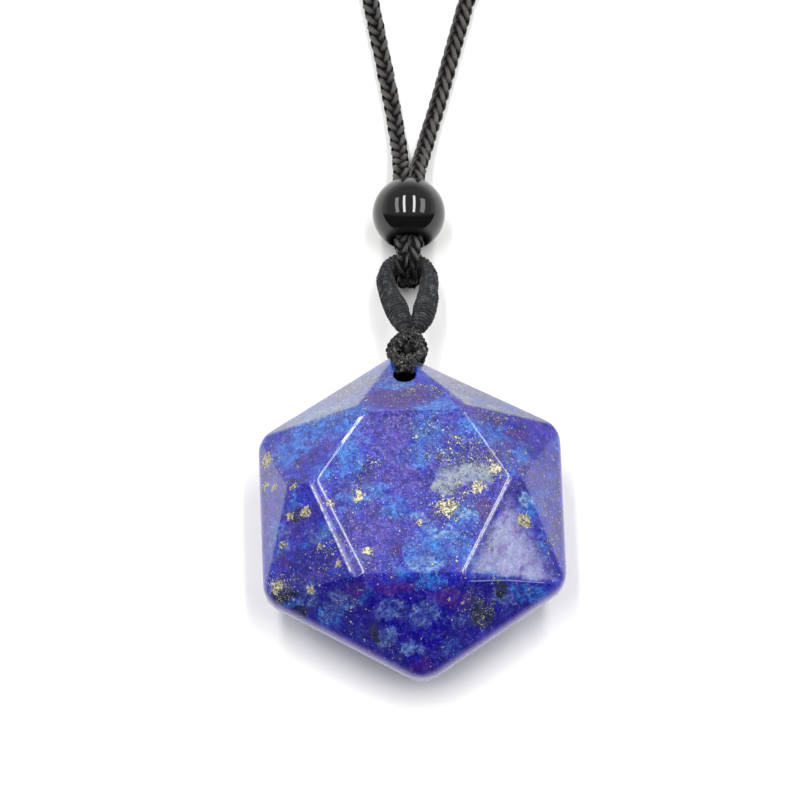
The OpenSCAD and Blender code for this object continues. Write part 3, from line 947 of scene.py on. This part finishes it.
def field(tree, name, kind="FLOAT"):
    """A named value that the line carries."""
    return add(tree, "GeometryNodeInputNamedAttribute", {"Name": name}, data_type=kind).outputs["Attribute"]


def grown(name, source, tree, values):
    """Run a tree on an object and keep the result as a plain mesh of its own."""
    modifier = source.modifiers.new(name, "NODES")
    modifier.node_group = tree
    for item in tree.interface.items_tree:
        if item.in_out == "INPUT" and item.name in values:
            modifier[item.identifier] = values[item.name]
    bpy.context.view_layer.update()
    graph = bpy.context.evaluated_depsgraph_get()
    mesh = bpy.data.meshes.new_from_object(source.evaluated_get(graph))
    mesh.name = name
    mesh.shade_smooth()
    source.modifiers.remove(modifier)
    bpy.data.objects.remove(source)
    return in_scene(name, mesh)


def triangles_of(mesh):
    """How many triangles a mesh's faces come to."""
    return sum(len(p.vertices) - 2 for p in mesh.polygons)


# %% [markdown]
# A stitch of the braid is a plump little pad: it dives under its neighbours at both ends. It is drawn once for
# each size of cord, lying along Z with its back outwards along X. It has few faces, because it is repeated many
# hundred times, and it carries a UV map so that its fibres can run its length.

# %% One stitch
# Powers that shape the pad: how late it tapers, how blunt its ends are, and how late it dives
TAPER, BLUNT, DIVE_LATE = 2.4, 0.62, 2.2


def mesh_from(shape, name):
    """A plain mesh from a bmesh, which is then freed."""
    mesh = bpy.data.meshes.new(name)
    shape.to_mesh(mesh)
    shape.free()
    return mesh


def stitch_object(name, length, width, height, dive, around=7, rings=6):
    """A pad of that size whose ends dive by a share of its height, as an object that isn't shown."""
    shape = bmesh.new()
    uv = shape.loops.layers.uv.new("UVMap")
    rows = []
    for r in range(rings + 1):
        t = -1 + 2 * r / rings
        swell = max(0.0, 1 - abs(t) ** TAPER) ** BLUNT
        lean = -dive * abs(t) ** DIVE_LATE
        row = []
        for k in range(around if 0 < r < rings else 1):
            angle = 2 * math.pi * k / around
            row.append(shape.verts.new((
                (height * 0.5 * swell * math.cos(angle) + lean * height) * MM,
                width * 0.5 * swell * math.sin(angle) * MM,
                length * 0.5 * t * MM)))
        rows.append(row)
    for r in range(rings):
        low, high = rows[r], rows[r + 1]
        for k in range(around):
            j = (k + 1) % around
            corners = [(low[k % len(low)], k, r), (low[j % len(low)], k + 1, r),
                       (high[j % len(high)], k + 1, r + 1), (high[k % len(high)], k, r + 1)]
            unique = []
            for corner in corners:
                if corner[0] not in [c[0] for c in unique]:
                    unique.append(corner)
            face = shape.faces.new([c[0] for c in unique])
            for loop, corner in zip(face.loops, unique):
                loop[uv].uv = (corner[1] / around, corner[2] / rings)
    bmesh.ops.recalc_face_normals(shape, faces=shape.faces)
    return bpy.data.objects.new(name, mesh_from(shape, name))


neck_stitch = stitch_object("neck_stitch", 3.1, 0.64, 0.54, 0.9)
thin_stitch = stitch_object("thin_stitch", 0.85, 0.42, 0.26, 0.5, 6, 5)
print("triangles a stitch:", triangles_of(neck_stitch.data), "and", triangles_of(thin_stitch.data))

# %% [markdown]
# The braid lays four columns of stitches round a dark core. Neighbouring columns lean against each other, so
# two of them make the row of arrowheads that such a cord shows. The tree resamples the line at one stitch's
# pitch, puts a stitch in each column, half a pitch apart from its neighbours', and turns it to face outwards.

# %% The braid tree
COLUMNS = 4
# Each stitch is turned at random by up to this much, in radians
LOOSE_TURN, TURN_SEED = 0.16, 7
CORE_SIDES = 8


def braid_tree():
    """Stitches in columns round a line. Inputs: Pitch, Reach, Slant, Core, Stitch, Finish."""
    tree, given, result = new_tree("braid", [
        ("Pitch", "Float"), ("Reach", "Float"), ("Slant", "Float"), ("Core", "Float"),
        ("Stitch", "Object"), ("Finish", "Material")])
    line = add(tree, "GeometryNodeMeshToCurve", {"Mesh": given["Geometry"]}).outputs[0]
    wants = {"Curve": line, "Length": given["Pitch"]}
    even = add(tree, "GeometryNodeResampleCurve", wants, mode="LENGTH").outputs[0]
    along, side = field(tree, "along", "FLOAT_VECTOR"), field(tree, "side", "FLOAT_VECTOR")
    thick, roll = field(tree, "thick"), field(tree, "roll")
    stitch = add(tree, "GeometryNodeObjectInfo", {"Object": given["Stitch"]}).outputs["Geometry"]
    # Sockets 2 and 3 and output 1 of Random Value are the ones for plain numbers
    wants = {2: -LOOSE_TURN, 3: LOOSE_TURN, "Seed": TURN_SEED}
    loose = add(tree, "FunctionNodeRandomValue", wants, data_type="FLOAT").outputs[1]
    # A thinner stretch has thinner stitches, but they shorten less than they thin
    long = sums(tree, "ADD", times(tree, thick, 0.6), 0.4)
    size = add(tree, "CombineXYZ", {"X": thick, "Y": thick, "Z": long}).outputs[0]
    joined_up = add(tree, "GeometryNodeJoinGeometry")
    for column in range(COLUMNS):
        angle = sums(tree, "ADD", roll, 2 * math.pi * (column + 0.5) / COLUMNS)
        outward = add(tree, "VectorRotate", {"Vector": side, "Axis": along, "Angle": angle},
                      rotation_type="AXIS_ANGLE").outputs[0]
        shift = vectors(tree, "SCALE", outward, times(tree, given["Reach"], thick))
        if column % 2:
            shift = vectors(tree, "ADD", shift, vectors(tree, "SCALE", along, times(tree, given["Pitch"], 0.5)))
        placed = add(tree, "GeometryNodeSetPosition", {"Geometry": even, "Offset": shift}).outputs[0]
        facing = add(tree, "FunctionNodeAxesToRotation", {0: along, 1: outward},
                     primary_axis="Z", secondary_axis="X").outputs[0]
        slant = times(tree, given["Slant"], -1.0 if column % 2 else 1.0)
        lean = add(tree, "CombineXYZ", {"X": sums(tree, "ADD", slant, loose)}).outputs[0]
        lean = add(tree, "FunctionNodeEulerToRotation", {0: lean}).outputs[0]
        turned = add(tree, "FunctionNodeRotateRotation", {0: facing, 1: lean}, rotation_space="LOCAL").outputs[0]
        wants = {"Points": placed, "Instance": stitch, "Rotation": turned, "Scale": size}
        laid = add(tree, "GeometryNodeInstanceOnPoints", wants).outputs[0]
        plug(tree, joined_up.inputs[0], laid)
    wants = {"Resolution": CORE_SIDES, "Radius": given["Core"]}
    profile = add(tree, "GeometryNodeCurvePrimitiveCircle", wants).outputs[0]
    wants = {"Curve": even, "Profile Curve": profile, "Fill Caps": True}
    plug(tree, joined_up.inputs[0], add(tree, "GeometryNodeCurveToMesh", wants).outputs[0])
    whole = add(tree, "GeometryNodeRealizeInstances", {"Geometry": joined_up.outputs[0]}).outputs[0]
    wants = {"Geometry": whole, "Material": given["Finish"]}
    plug(tree, result, add(tree, "GeometryNodeSetMaterial", wants).outputs[0])
    return tree


braid = braid_tree()
print("braid tree:", len(braid.nodes), "nodes")

# %% [markdown]
# All the cords are black synthetic fibre with a soft sheen. The fine fibres that run along a strand are too
# thin to model, so one shared group draws them from the stitch's UV map or from the place on the piece. It
# gives a height for the bump and a mask for the paler, worn fibres.

# %% Fibre group
def fibre_group():
    """Height and Pale over the surface. Inputs: Place, Fibres (across one unit of it), Fuzz place, and Fuzz
    (specks to one unit of that)."""
    group = bpy.data.node_groups.new("fibres", "ShaderNodeTree")
    for label, kind in (("Place", "Vector"), ("Fibres", "Float"), ("Fuzz place", "Vector"), ("Fuzz", "Float")):
        group.interface.new_socket(label, in_out="INPUT", socket_type="NodeSocket" + kind)
    for label in ("Height", "Pale"):
        group.interface.new_socket(label, in_out="OUTPUT", socket_type="NodeSocketFloat")
    given, result = group.nodes.new("NodeGroupInput").outputs, group.nodes.new("NodeGroupOutput").inputs
    drawn_out = add(group, "CombineXYZ", {"X": given["Fibres"], "Y": 1.2, "Z": 1.0}).outputs[0]
    threads = noise(group, vectors(group, "MULTIPLY", given["Place"], drawn_out), 1.0, 3, 0.6)
    specks = noise(group, given["Fuzz place"], given["Fuzz"], 2, 0.7)
    plug(group, result["Height"], sums(group, "MULTIPLY_ADD", threads, 0.7, times(group, specks, 0.3)))
    pale = times(group, step_up(group, threads, 0.45, 0.72), step_up(group, specks, 0.42, 0.66))
    plug(group, result["Pale"], pale)
    return group


fibres = fibre_group()
print("fibre group:", len(fibres.nodes), "nodes")


# %% Black fibre
BLACK = (0.001, 0.001, 0.001)


def fibre_material(name, dark, pale, along_uv, across, bump, roughness, fuzz, sheen, gloss=0.2):
    """Black fibre, by its dark and pale colours and how many fibres lie across a strand. The colour's own output
    comes last, for a material that shades it further."""
    material, tree, shader = new_material(name)
    place = millimetres(tree)
    run = add(tree, "TexCoord").outputs["UV"] if along_uv else place
    wants = {"Place": run, "Fibres": across, "Fuzz place": place, "Fuzz": fuzz}
    drawn = add(tree, "Group", wants, node_tree=fibres).outputs
    wear_and_highlight = times(tree, noise(tree, place, 0.5, 2), 0.5)
    mask = sums(tree, "ADD", drawn["Pale"], times(tree, wear_and_highlight, drawn["Height"]))
    colour = tint(tree, mask, dark, pale)
    relief = add(tree, "Bump", {"Height": drawn["Height"], "Strength": 1.0, "Distance": bump * MM}).outputs[0]
    for key, value in (("Base Color", colour), ("Normal", relief), ("Roughness", roughness),
                       ("Sheen Weight", sheen), ("Sheen Roughness", 0.4), ("Specular IOR Level", gloss)):
        plug(tree, shader.inputs[key], value)
    return material, tree, shader, colour


# %% [markdown]
# The neck cord is one long loop. Its two ends lie behind the wound ring, fold over the ring's top, go through
# the bead side by side and open out into the loop, which lies flat on the table.

# %% Neck cord's line
NECK = 1.7
# The braid's stitches stand a little outside its drawn thickness, so its middle lies that much higher
LIE = NECK / 2 + 0.12
RING_X, BEAD_X = -0.25, -0.1
# Along the cord, the fold is centred on the ring up to here and on the bead beyond
FOLD_END_Y = 33
# out from the middle, along, up, share of the cord's full thickness
FOLD = [(0.7, 31.9, 1.0, 0.85), (0.78, 30.7, 1.1, 0.92), (0.72, 29.8, 1.45, 0.88), (0.42, 29.05, 2.6, 0.64),
        (0.42, 29.3, 3.9, 0.64), (0.48, 30.3, 4.6, 0.72), (0.62, 32, 4.6, 0.84), (0.82, 33.5, 4.2, 0.95),
        (0.88, 36.6, 4, 1), (0.88, 40.4, 3.75, 1)]
# Across, along and up: the left strand sinks from the bead to the table, the loop lies flat, at one height, and
# the right strand rises to the bead again
NEAR = [(-0.96, 42.6, 2.95), (-1.1, 45, 1.75), (-1.5, 48.5, 1.12)]
FLAT = [(-2.2, 53), (-4.5, 65.4), (-7.4, 80), (-13.5, 105), (-23, 135), (-36, 168), (-49, 200), (-58, 232),
        (-58, 262), (-48, 287), (-28, 304), (0, 310), (28, 304), (48, 287), (58, 262), (59, 232), (52, 200),
        (41, 168), (29, 135), (18.5, 105), (10.4, 80), (6.6, 65.4), (3.5, 53)]
FAR = [(2.3, 48.5, 1.12), (1.45, 45, 1.75), (0.95, 42.6, 2.95)]
# The right strand is rolled by so many degrees about its own line, so that it shows more of one column. The roll
# comes in over the middle fifth of the loop.
RIGHT_ROLL = 22


def fold_side(sign):
    """One strand from behind the ring, over its top and through the bead. sign is -1 on the left."""
    return [((RING_X if y < FOLD_END_Y else BEAD_X) + sign * out, y, z, w) for out, y, z, w in FOLD]


neck_stations = (fold_side(-1) + [(*p, 1) for p in NEAR] + [(x, y, LIE, 1) for x, y in FLAT]
                 + [(*p, 1) for p in FAR] + fold_side(1)[::-1])
neck_line = smooth_line(neck_stations, 0.7)
farthest = int(np.argmax(neck_line[:, 1]))
share = np.linspace(0, 1, len(neck_line))
neck_roll = math.radians(RIGHT_ROLL) * np.clip((share - 0.4) / 0.2, 0, 1)
neck_source, neck_length = line_object("neck_line", neck_line, neck_line[:, 3], neck_roll, farthest)
print("neck cord:", round(neck_length / 1000, 3), "m")

# %% [markdown]
# Little light gets between the stitches of a real braid. Each stitch's own UV map tells how far out a place on
# it lies and how near it is to a sunken end, so the hollows are darkened from that. The cord is also darker where
# the ring, the fold and the bead shut the light out, and those places are known in millimetres.

# %% Neck cord's finish
# Millimetres along the cord over which the light comes or goes: out of the ring's grip, past the ring, into the
# bead and out of it. Behind the ring the cord is dark below the last two, which are heights.
GRIP, PAST_RING, INTO_BEAD, OUT_OF_BEAD = (29.4, 31.2), (32.0, 34.0), (33.3, 34.2), (39.4, 40.2)
BEHIND_RING = (1.8, 2.6)


def braid_light(tree):
    """How much light reaches each place on the neck cord."""
    spread = split(tree, millimetres(tree))
    gripped = step_up(tree, spread["Y"], *GRIP, 0.25, 1.0)
    beneath = step_up(tree, spread["Z"], *BEHIND_RING)
    beneath = sums(tree, "MAXIMUM", beneath, step_up(tree, spread["Y"], *PAST_RING))
    in_bead = step_up(tree, spread["Y"], *INTO_BEAD)
    in_bead = times(tree, in_bead, step_up(tree, spread["Y"], *OUT_OF_BEAD, 1.0, 0.0))
    lit = times(tree, gripped, sums(tree, "MULTIPLY_ADD", in_bead, -0.95, 1.0))
    pad = split(tree, add(tree, "TexCoord").outputs["UV"])
    outward = sums(tree, "COSINE", times(tree, pad["X"], 2 * math.pi))
    from_middle = sums(tree, "ABSOLUTE", sums(tree, "SUBTRACT", pad["Y"], 0.5))
    ridge = step_up(tree, outward, -0.1, 0.9, 0.1, 1.0)
    ridge = times(tree, ridge, step_up(tree, from_middle, 0.12, 0.42, 1.25, 0.1))
    return times(tree, lit, ridge, beneath)


braid_black, braid_paint, braid_shader, braid_colour = fibre_material(
    "braid", (0.008, 0.0075, 0.0075), (0.25, 0.227, 0.218), along_uv=True, across=5, bump=0.16, roughness=0.55,
    fuzz=8.0, sheen=0.09)
braid_lit = braid_light(braid_paint)
plug(braid_paint, braid_shader.inputs["Base Color"], tint(braid_paint, braid_lit, BLACK, braid_colour))
plug(braid_paint, braid_shader.inputs["Specular IOR Level"], times(braid_paint, braid_lit, 0.4))
print("braid material:", len(braid_paint.nodes), "nodes")

# %% Neck cord
neck_cord = grown("neck_braid", neck_source, braid, {
    "Pitch": 1.4 * MM, "Reach": 0.72 * MM, "Slant": math.radians(29), "Core": 0.6 * MM,
    "Stitch": neck_stitch, "Finish": braid_black})
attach(neck_cord, "root")
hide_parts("neck_cord")
print("neck braid:", triangles_of(neck_cord.data), "triangles")

# %% [markdown]
# The ring is two legs of cord wound tightly with one fine thread. A stack of rings would look too regular and
# wouldn't join up, so the winding is one real helix round the ring's line, over a dark core.

# %% The winding tree
TURN_POINTS = 14
THREAD_SIDES = 6
# The thread's radius as a share of the pitch: a little under a half, so that a groove shows between the turns
THREAD_SHARE = 0.42
# No turn lies quite as far out as the next: noise cells to the metre, and how far the thread wanders
UNEVEN_CELLS, UNEVEN_REACH = 900.0, 0.3 * MM


def winding_tree():
    """One thread wound round a line. Inputs: Pitch, Thread, Finish. The line carries its radius as thick."""
    tree, given, result = new_tree("winding", [("Pitch", "Float"), ("Thread", "Float"), ("Finish", "Material")])
    line = add(tree, "GeometryNodeMeshToCurve", {"Mesh": given["Geometry"]}).outputs[0]
    step = sums(tree, "DIVIDE", given["Pitch"], TURN_POINTS)
    fine = add(tree, "GeometryNodeResampleCurve", {"Curve": line, "Length": step}, mode="LENGTH").outputs[0]
    along, side = field(tree, "along", "FLOAT_VECTOR"), field(tree, "side", "FLOAT_VECTOR")
    run, thick = field(tree, "run"), field(tree, "thick")
    angle = times(tree, sums(tree, "DIVIDE", run, given["Pitch"]), 2 * math.pi)
    outward = add(tree, "VectorRotate", {"Vector": side, "Axis": along, "Angle": angle},
                  rotation_type="AXIS_ANGLE").outputs[0]
    uneven = add(tree, "TexNoise", {"Scale": UNEVEN_CELLS, "Detail": 2.0}).outputs[0]
    uneven = times(tree, sums(tree, "SUBTRACT", uneven, 0.5), UNEVEN_REACH)
    reach = sums(tree, "SUBTRACT", thick, times(tree, given["Thread"], 0.5))
    offset = vectors(tree, "SCALE", outward, sums(tree, "ADD", reach, uneven))
    placed = add(tree, "GeometryNodeSetPosition", {"Geometry": fine, "Offset": offset}).outputs[0]
    wants = {"Resolution": THREAD_SIDES, "Radius": times(tree, given["Thread"], THREAD_SHARE)}
    profile = add(tree, "GeometryNodeCurvePrimitiveCircle", wants).outputs[0]
    wants = {"Curve": placed, "Profile Curve": profile, "Fill Caps": True}
    thread = add(tree, "GeometryNodeCurveToMesh", wants).outputs[0]
    wants = {"Geometry": thread, "Material": given["Finish"]}
    plug(tree, result, add(tree, "GeometryNodeSetMaterial", wants).outputs[0])
    return tree


winding = winding_tree()
print("winding tree:", len(winding.nodes), "nodes")


# %% A plain tube for cores
# Where a line's side direction starts from, for the ring and for plain tubes
TUBE_SIDE = (0, 0.3, 1)


def tube_into(shape, line, radii, sides=10):
    """Add a closed tube along the line to a bmesh, in metres."""
    along, side, _ = line_frames(line, 0, np.array(TUBE_SIDE, float))
    rows = []
    for place, a, s, radius in zip(line[:, :3], along, side, radii):
        up = np.cross(a, s)
        rows.append([shape.verts.new(tuple((place + radius * (math.cos(t) * s + math.sin(t) * up)) * MM))
                     for t in np.linspace(0, 2 * math.pi, sides, endpoint=False)])
    for low, high in zip(rows, rows[1:]):
        for k in range(sides):
            j = (k + 1) % sides
            shape.faces.new((low[k], low[j], high[j], high[k]))
    shape.faces.new(rows[0][::-1])
    shape.faces.new(rows[-1])


# %% Ring's line
# half the distance between the legs, along, up, thickness, lean to the right; from the foot up to the ring's top
HALF_RING = [(0.62, 21.45, 6.5, 1.5, 0.3), (0.76, 21.85, 6.4, 2.0, 0.36), (0.92, 22.45, 6.15, 2.35, 0.4),
             (1.3, 23.4, 5.75, 2.6, 0.38), (1.55, 24.5, 5.3, 2.8, 0.32), (1.97, 25.9, 4.75, 2.46, 0.2),
             (2.2, 27.2, 4.2, 2.3, 0.06), (2.36, 28.4, 3.7, 2.18, 0), (2.38, 29.5, 3.3, 1.84, 0),
             (1.9, 30.6, 3, 1.8, 0), (1.05, 31.35, 2.88, 1.8, 0), (0, 31.6, 2.85, 1.8, 0)]
ring_stations = [(RING_X + lean - out, y, z, d) for out, y, z, d, lean in HALF_RING]
ring_stations += [(RING_X + lean + out, y, z, d) for out, y, z, d, lean in HALF_RING[-2::-1]]
ring_line = smooth_line(ring_stations, 0.3)
ring_radius = ring_line[:, 3] / 2
ring_source, ring_length = line_object(
    "ring_line", ring_line, ring_radius * MM, np.zeros(len(ring_line)), 0, TUBE_SIDE)
print("ring line:", round(ring_length, 1), "mm")

# %% Wound ring
THREAD_PITCH = 0.4 * MM
# The plain core's surface lies this many millimetres inside the wound thread's
CORE_BELOW = 0.2
wound_black = fibre_material(
    "wound_thread", (0.006, 0.0065, 0.0075), (0.115, 0.118, 0.13), along_uv=False, across=2.5, bump=0.06,
    roughness=0.8, fuzz=7.0, sheen=0.06)[0]
ring = grown("wound_legs", ring_source, winding, {
    "Pitch": THREAD_PITCH, "Thread": THREAD_PITCH, "Finish": wound_black})
ring_shape = bmesh.new()
ring_shape.from_mesh(ring.data)
tube_into(ring_shape, ring_line, ring_radius - CORE_BELOW)
ring_shape.to_mesh(ring.data)
ring_shape.free()
ring.data.shade_smooth()
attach(ring, "root")
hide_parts("wrapped_ring")
print("ring:", triangles_of(ring.data), "triangles")

# %% [markdown]
# The knot between ring and stone is an overhand knot in the doubled thin cord. Two strands come down from the
# ring, a turn of the cord bulges out to the knot's corner on either side, and below a dark hollow the strands
# gather like a funnel and go over the stone's edge into the hole, in front and behind. One line through the
# whole knot would be truer, but its crossings lie hidden, so a short line is laid wherever a strand shows. They
# are the same braid at a smaller scale, joined into one piece.

# %% Thin cord's lines
# across, along, up from the stone's middle height: the strands into the hole, the ones that fill the funnel's
# middle, the turn that bulges out on either side, and the turn above it, below the ring
FUNNEL = [(1.62, 18.6, 0.4), (1.55, 18.1, 0.95), (1.2, 17.3, 1.75), (0.85, 16.5, 2.5), (0.62, 15.75, 3.1),
          (0.56, 15.2, 3.1), (0.54, 14.9, 2.3), (0.54, 14.75, 1.2), (0.54, 14.65, 0.1)]
MIDST = [(0.5, 17.6, 0.7), (0.46, 17.3, 1.45), (0.42, 16.9, 2.2), (0.34, 16.2, 2.85), (0.3, 15.5, 3.25),
         (0.3, 15.05, 2.9), (0.3, 14.8, 1.9)]
CHEEK = [(0.5, 21.2, -0.35), (0.62, 20.85, -0.1), (0.95, 20.2, 0.3), (1.4, 19.5, 0.6), (1.72, 18.85, 0.5),
         (1.7, 18.5, -0.1), (1.3, 18.5, -0.7), (0.7, 18.8, -1.0)]
NAPE = [(0.42, 21.15, -0.2), (0.42, 20.6, 0.3), (0.45, 20.0, 0.85), (0.6, 19.4, 1.2), (0.95, 18.95, 1.0),
        (1.35, 18.7, 0.6)]


def knot_middle(y):
    """The knot leans to the right of the hole and its neck leans further, so the middle shifts."""
    return float(np.interp(y, (16.0, 18.6, 19.6, 20.9), (-0.6, -0.33, -0.2, 0.05)))


def strand(stations, mirror, front):
    """One strand's places. mirror is 1 or -1 across, front is 1 or -1 through the stone."""
    return [(knot_middle(y) + mirror * across, y, HALF + front * up) for across, y, up in stations]


thin_lines = [strand(FUNNEL, m, f) for m in (-1, 1) for f in (1, -1)]
thin_lines += [strand(line, m, 1) for line in (MIDST, CHEEK, NAPE) for m in (-1, 1)]
print("thin strands:", len(thin_lines))

# %% Thin cord's finish
# The front facet by the hole is 19.3 mm high at y = 0 and falls 0.6 mm for each millimetre along
FACET_HEIGHT, FACET_FALL = 19.3, -0.6
# The middle of the knot's hollow, where the cord is painted black as shade
HOLLOW = (-0.6, 18.3, 7.7)


def thin_cord_material():
    """Thin black cord with painted glints and dark pits. It is painted black as shade in the hole and in the
    knot's hollow.
    """
    material, tree, shader, colour = fibre_material(
        "thin_cord", (0.001, 0.001, 0.0013), (0.13, 0.125, 0.12), along_uv=True, across=5, bump=0.06,
        roughness=0.6, fuzz=3.6, sheen=0.0)
    place = millimetres(tree)
    spread = split(tree, place)
    # Painted shade: the strands go black where they sink into the hole and in the knot's hollow, where little
    # light gets in.
    facet = sums(tree, "MULTIPLY_ADD", spread["Y"], FACET_FALL, FACET_HEIGHT)
    hole_shade = step_up(tree, sums(tree, "SUBTRACT", spread["Z"], facet), -0.5, 0.15, 1.0, 0.0)
    hole_shade = times(tree, hole_shade, step_up(tree, spread["Y"], 15.6, 16.2, 1.0, 0.0))
    glints = patches(tree, place, (3.6, 3, 0.85), 0.54, 0.62)
    pits = patches(tree, place, (1.6, 3, 0.7), 0.4, 0.56)
    colour = tint(tree, times(tree, glints, pits), colour, (0.26, 0.255, 0.25))
    colour = tint(tree, pits, (0.002, 0.002, 0.003), colour)
    hollow_shade = step_up(tree, vectors(tree, "DISTANCE", place, HOLLOW), 0.35, 0.75, 1.0, 0.0)
    colour = tint(tree, hollow_shade, colour, BLACK)
    plug(tree, shader.inputs["Base Color"], tint(tree, hole_shade, colour, BLACK))
    plug(tree, shader.inputs["Specular IOR Level"], sums(tree, "MULTIPLY_ADD", hole_shade, -0.2, 0.2))
    return material


thin_black = thin_cord_material()
print("thin cord material:", len(thin_black.node_tree.nodes), "nodes")

# %% Knot and strands
# A plain core inside the knot keeps light from showing through: its line, and its radius at each point
KNOT_CORE = np.array([(-0.4, 17.9, 7.1), (-0.3, 18.7, 7.0), (-0.25, 19.4, 6.95), (-0.1, 20.2, 6.8)])
KNOT_CORE_RADII = (0.5, 0.75, 0.9, 0.5)
# No two strands show the same side: each is rolled by this much more than the last, in radians
STRAND_ROLL = 0.6
knot_shape = bmesh.new()
for index, stations in enumerate(thin_lines):
    line = smooth_line([(*p, 1.0) for p in stations], 0.25)
    roll = np.full(len(line), STRAND_ROLL * index)
    source, _ = line_object("thin_line", line, line[:, 3], roll, 0, (0.2, 0.1, 1))
    piece = grown("thin_strand", source, braid, {
        "Pitch": 0.5 * MM, "Reach": 0.4 * MM, "Slant": math.radians(34), "Core": 0.4 * MM,
        "Stitch": thin_stitch, "Finish": thin_black})
    knot_shape.from_mesh(piece.data)
    bpy.data.objects.remove(piece)
tube_into(knot_shape, KNOT_CORE, KNOT_CORE_RADII)
knot_mesh = mesh_from(knot_shape, "knotted_cord")
knot_mesh.materials.append(thin_black)
knot_mesh.shade_smooth()
knot = in_scene("knotted_cord", knot_mesh)
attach(knot, "root")
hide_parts("hanger_cord")
print("knot:", triangles_of(knot_mesh), "triangles")

# %% [markdown]
# The bead is polished black glass or agate with a wide hole. A ball drilled with a boolean would have a sharp,
# uneven rim, so it is made as on a lathe: a profile of the ball, the rounded rim of the hole and the hole's wall
# is spun round the hole's axis.

# %% The bead's shape
BEAD_PLACE = np.array([BEAD_X, 36.6, 4.0])
BEAD_RADIUS, BORE_RADIUS, RIM_ROUND = 4.0, 1.9, 0.22


def bead_profile(steps=44, rim_steps=7):
    """Distance from the axis and place along it, from one rim over the ball to the other."""
    first = math.asin((BORE_RADIUS + RIM_ROUND * 1.1) / BEAD_RADIUS)
    angles = np.linspace(first, math.pi - first, steps)
    ball = [(BEAD_RADIUS * math.sin(a), BEAD_RADIUS * math.cos(a)) for a in angles]
    edge = ball[0]
    inner_y = edge[1] - RIM_ROUND * 0.9
    rim = []
    for t in np.linspace(0, 1, rim_steps)[1:]:
        bend = 2 * t * (1 - t)
        rim.append((edge[0] * (1 - t) ** 2 + BORE_RADIUS * (bend + t * t),
                    edge[1] * (1 - t) ** 2 + (edge[1] + 0.03) * bend + inner_y * t * t))
    wall = [(BORE_RADIUS, -inner_y * s) for s in (0.5, 0, -0.5)]
    return ball + [(r, -y) for r, y in rim] + wall + rim[::-1]


def spun(name, profile, around=96):
    """Spin a closed profile round the Y axis at the bead's place."""
    shape = bmesh.new()
    rows = [[shape.verts.new(tuple((BEAD_PLACE + (r * math.cos(a), y, r * math.sin(a))) * MM))
             for a in np.linspace(0, 2 * math.pi, around, endpoint=False)] for r, y in profile]
    for index, row in enumerate(rows):
        following = rows[(index + 1) % len(rows)]
        for k in range(around):
            j = (k + 1) % around
            shape.faces.new((row[k], row[j], following[j], following[k]))
    bmesh.ops.recalc_face_normals(shape, faces=shape.faces)
    mesh = mesh_from(shape, name)
    mesh.shade_smooth()
    return in_scene(name, mesh)


bead = spun("round_bead", bead_profile())
print("bead:", triangles_of(bead.data), "triangles")

# %% The bead's polish
polish, polish_tree, polish_shader = new_material("black_bead")
polish_place = millimetres(polish_tree)
cloudy = noise(polish_tree, polish_place, 0.35, 3, 0.6, 0.8)
from_axis = vectors(polish_tree, "SUBTRACT", polish_place, tuple(BEAD_PLACE))
from_axis = vectors(polish_tree, "LENGTH", vectors(polish_tree, "MULTIPLY", from_axis, (1, 0, 1)))
# Round the hole the bead is ground, not polished
ground = step_up(polish_tree, from_axis, BORE_RADIUS + 0.3, BORE_RADIUS + 1.1, 1.0, 0.0)
smooth_part = patches(polish_tree, polish_place, (2.5, 4), 0.3, 0.8, 0.03, 0.07)
for key, value in (("Base Color", tint(polish_tree, cloudy, (0.003, 0.003, 0.0035), (0.008, 0.007, 0.007))),
                   ("Roughness", sums(polish_tree, "MULTIPLY_ADD", ground, 0.6, smooth_part)),
                   ("Specular IOR Level", sums(polish_tree, "MULTIPLY_ADD", ground, -0.48, 0.5)), ("IOR", 1.55)):
    plug(polish_tree, polish_shader.inputs[key], value)
bead.data.materials.append(polish)
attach(bead, "root")
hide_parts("bead")
print("bead material:", len(polish_tree.nodes), "nodes")
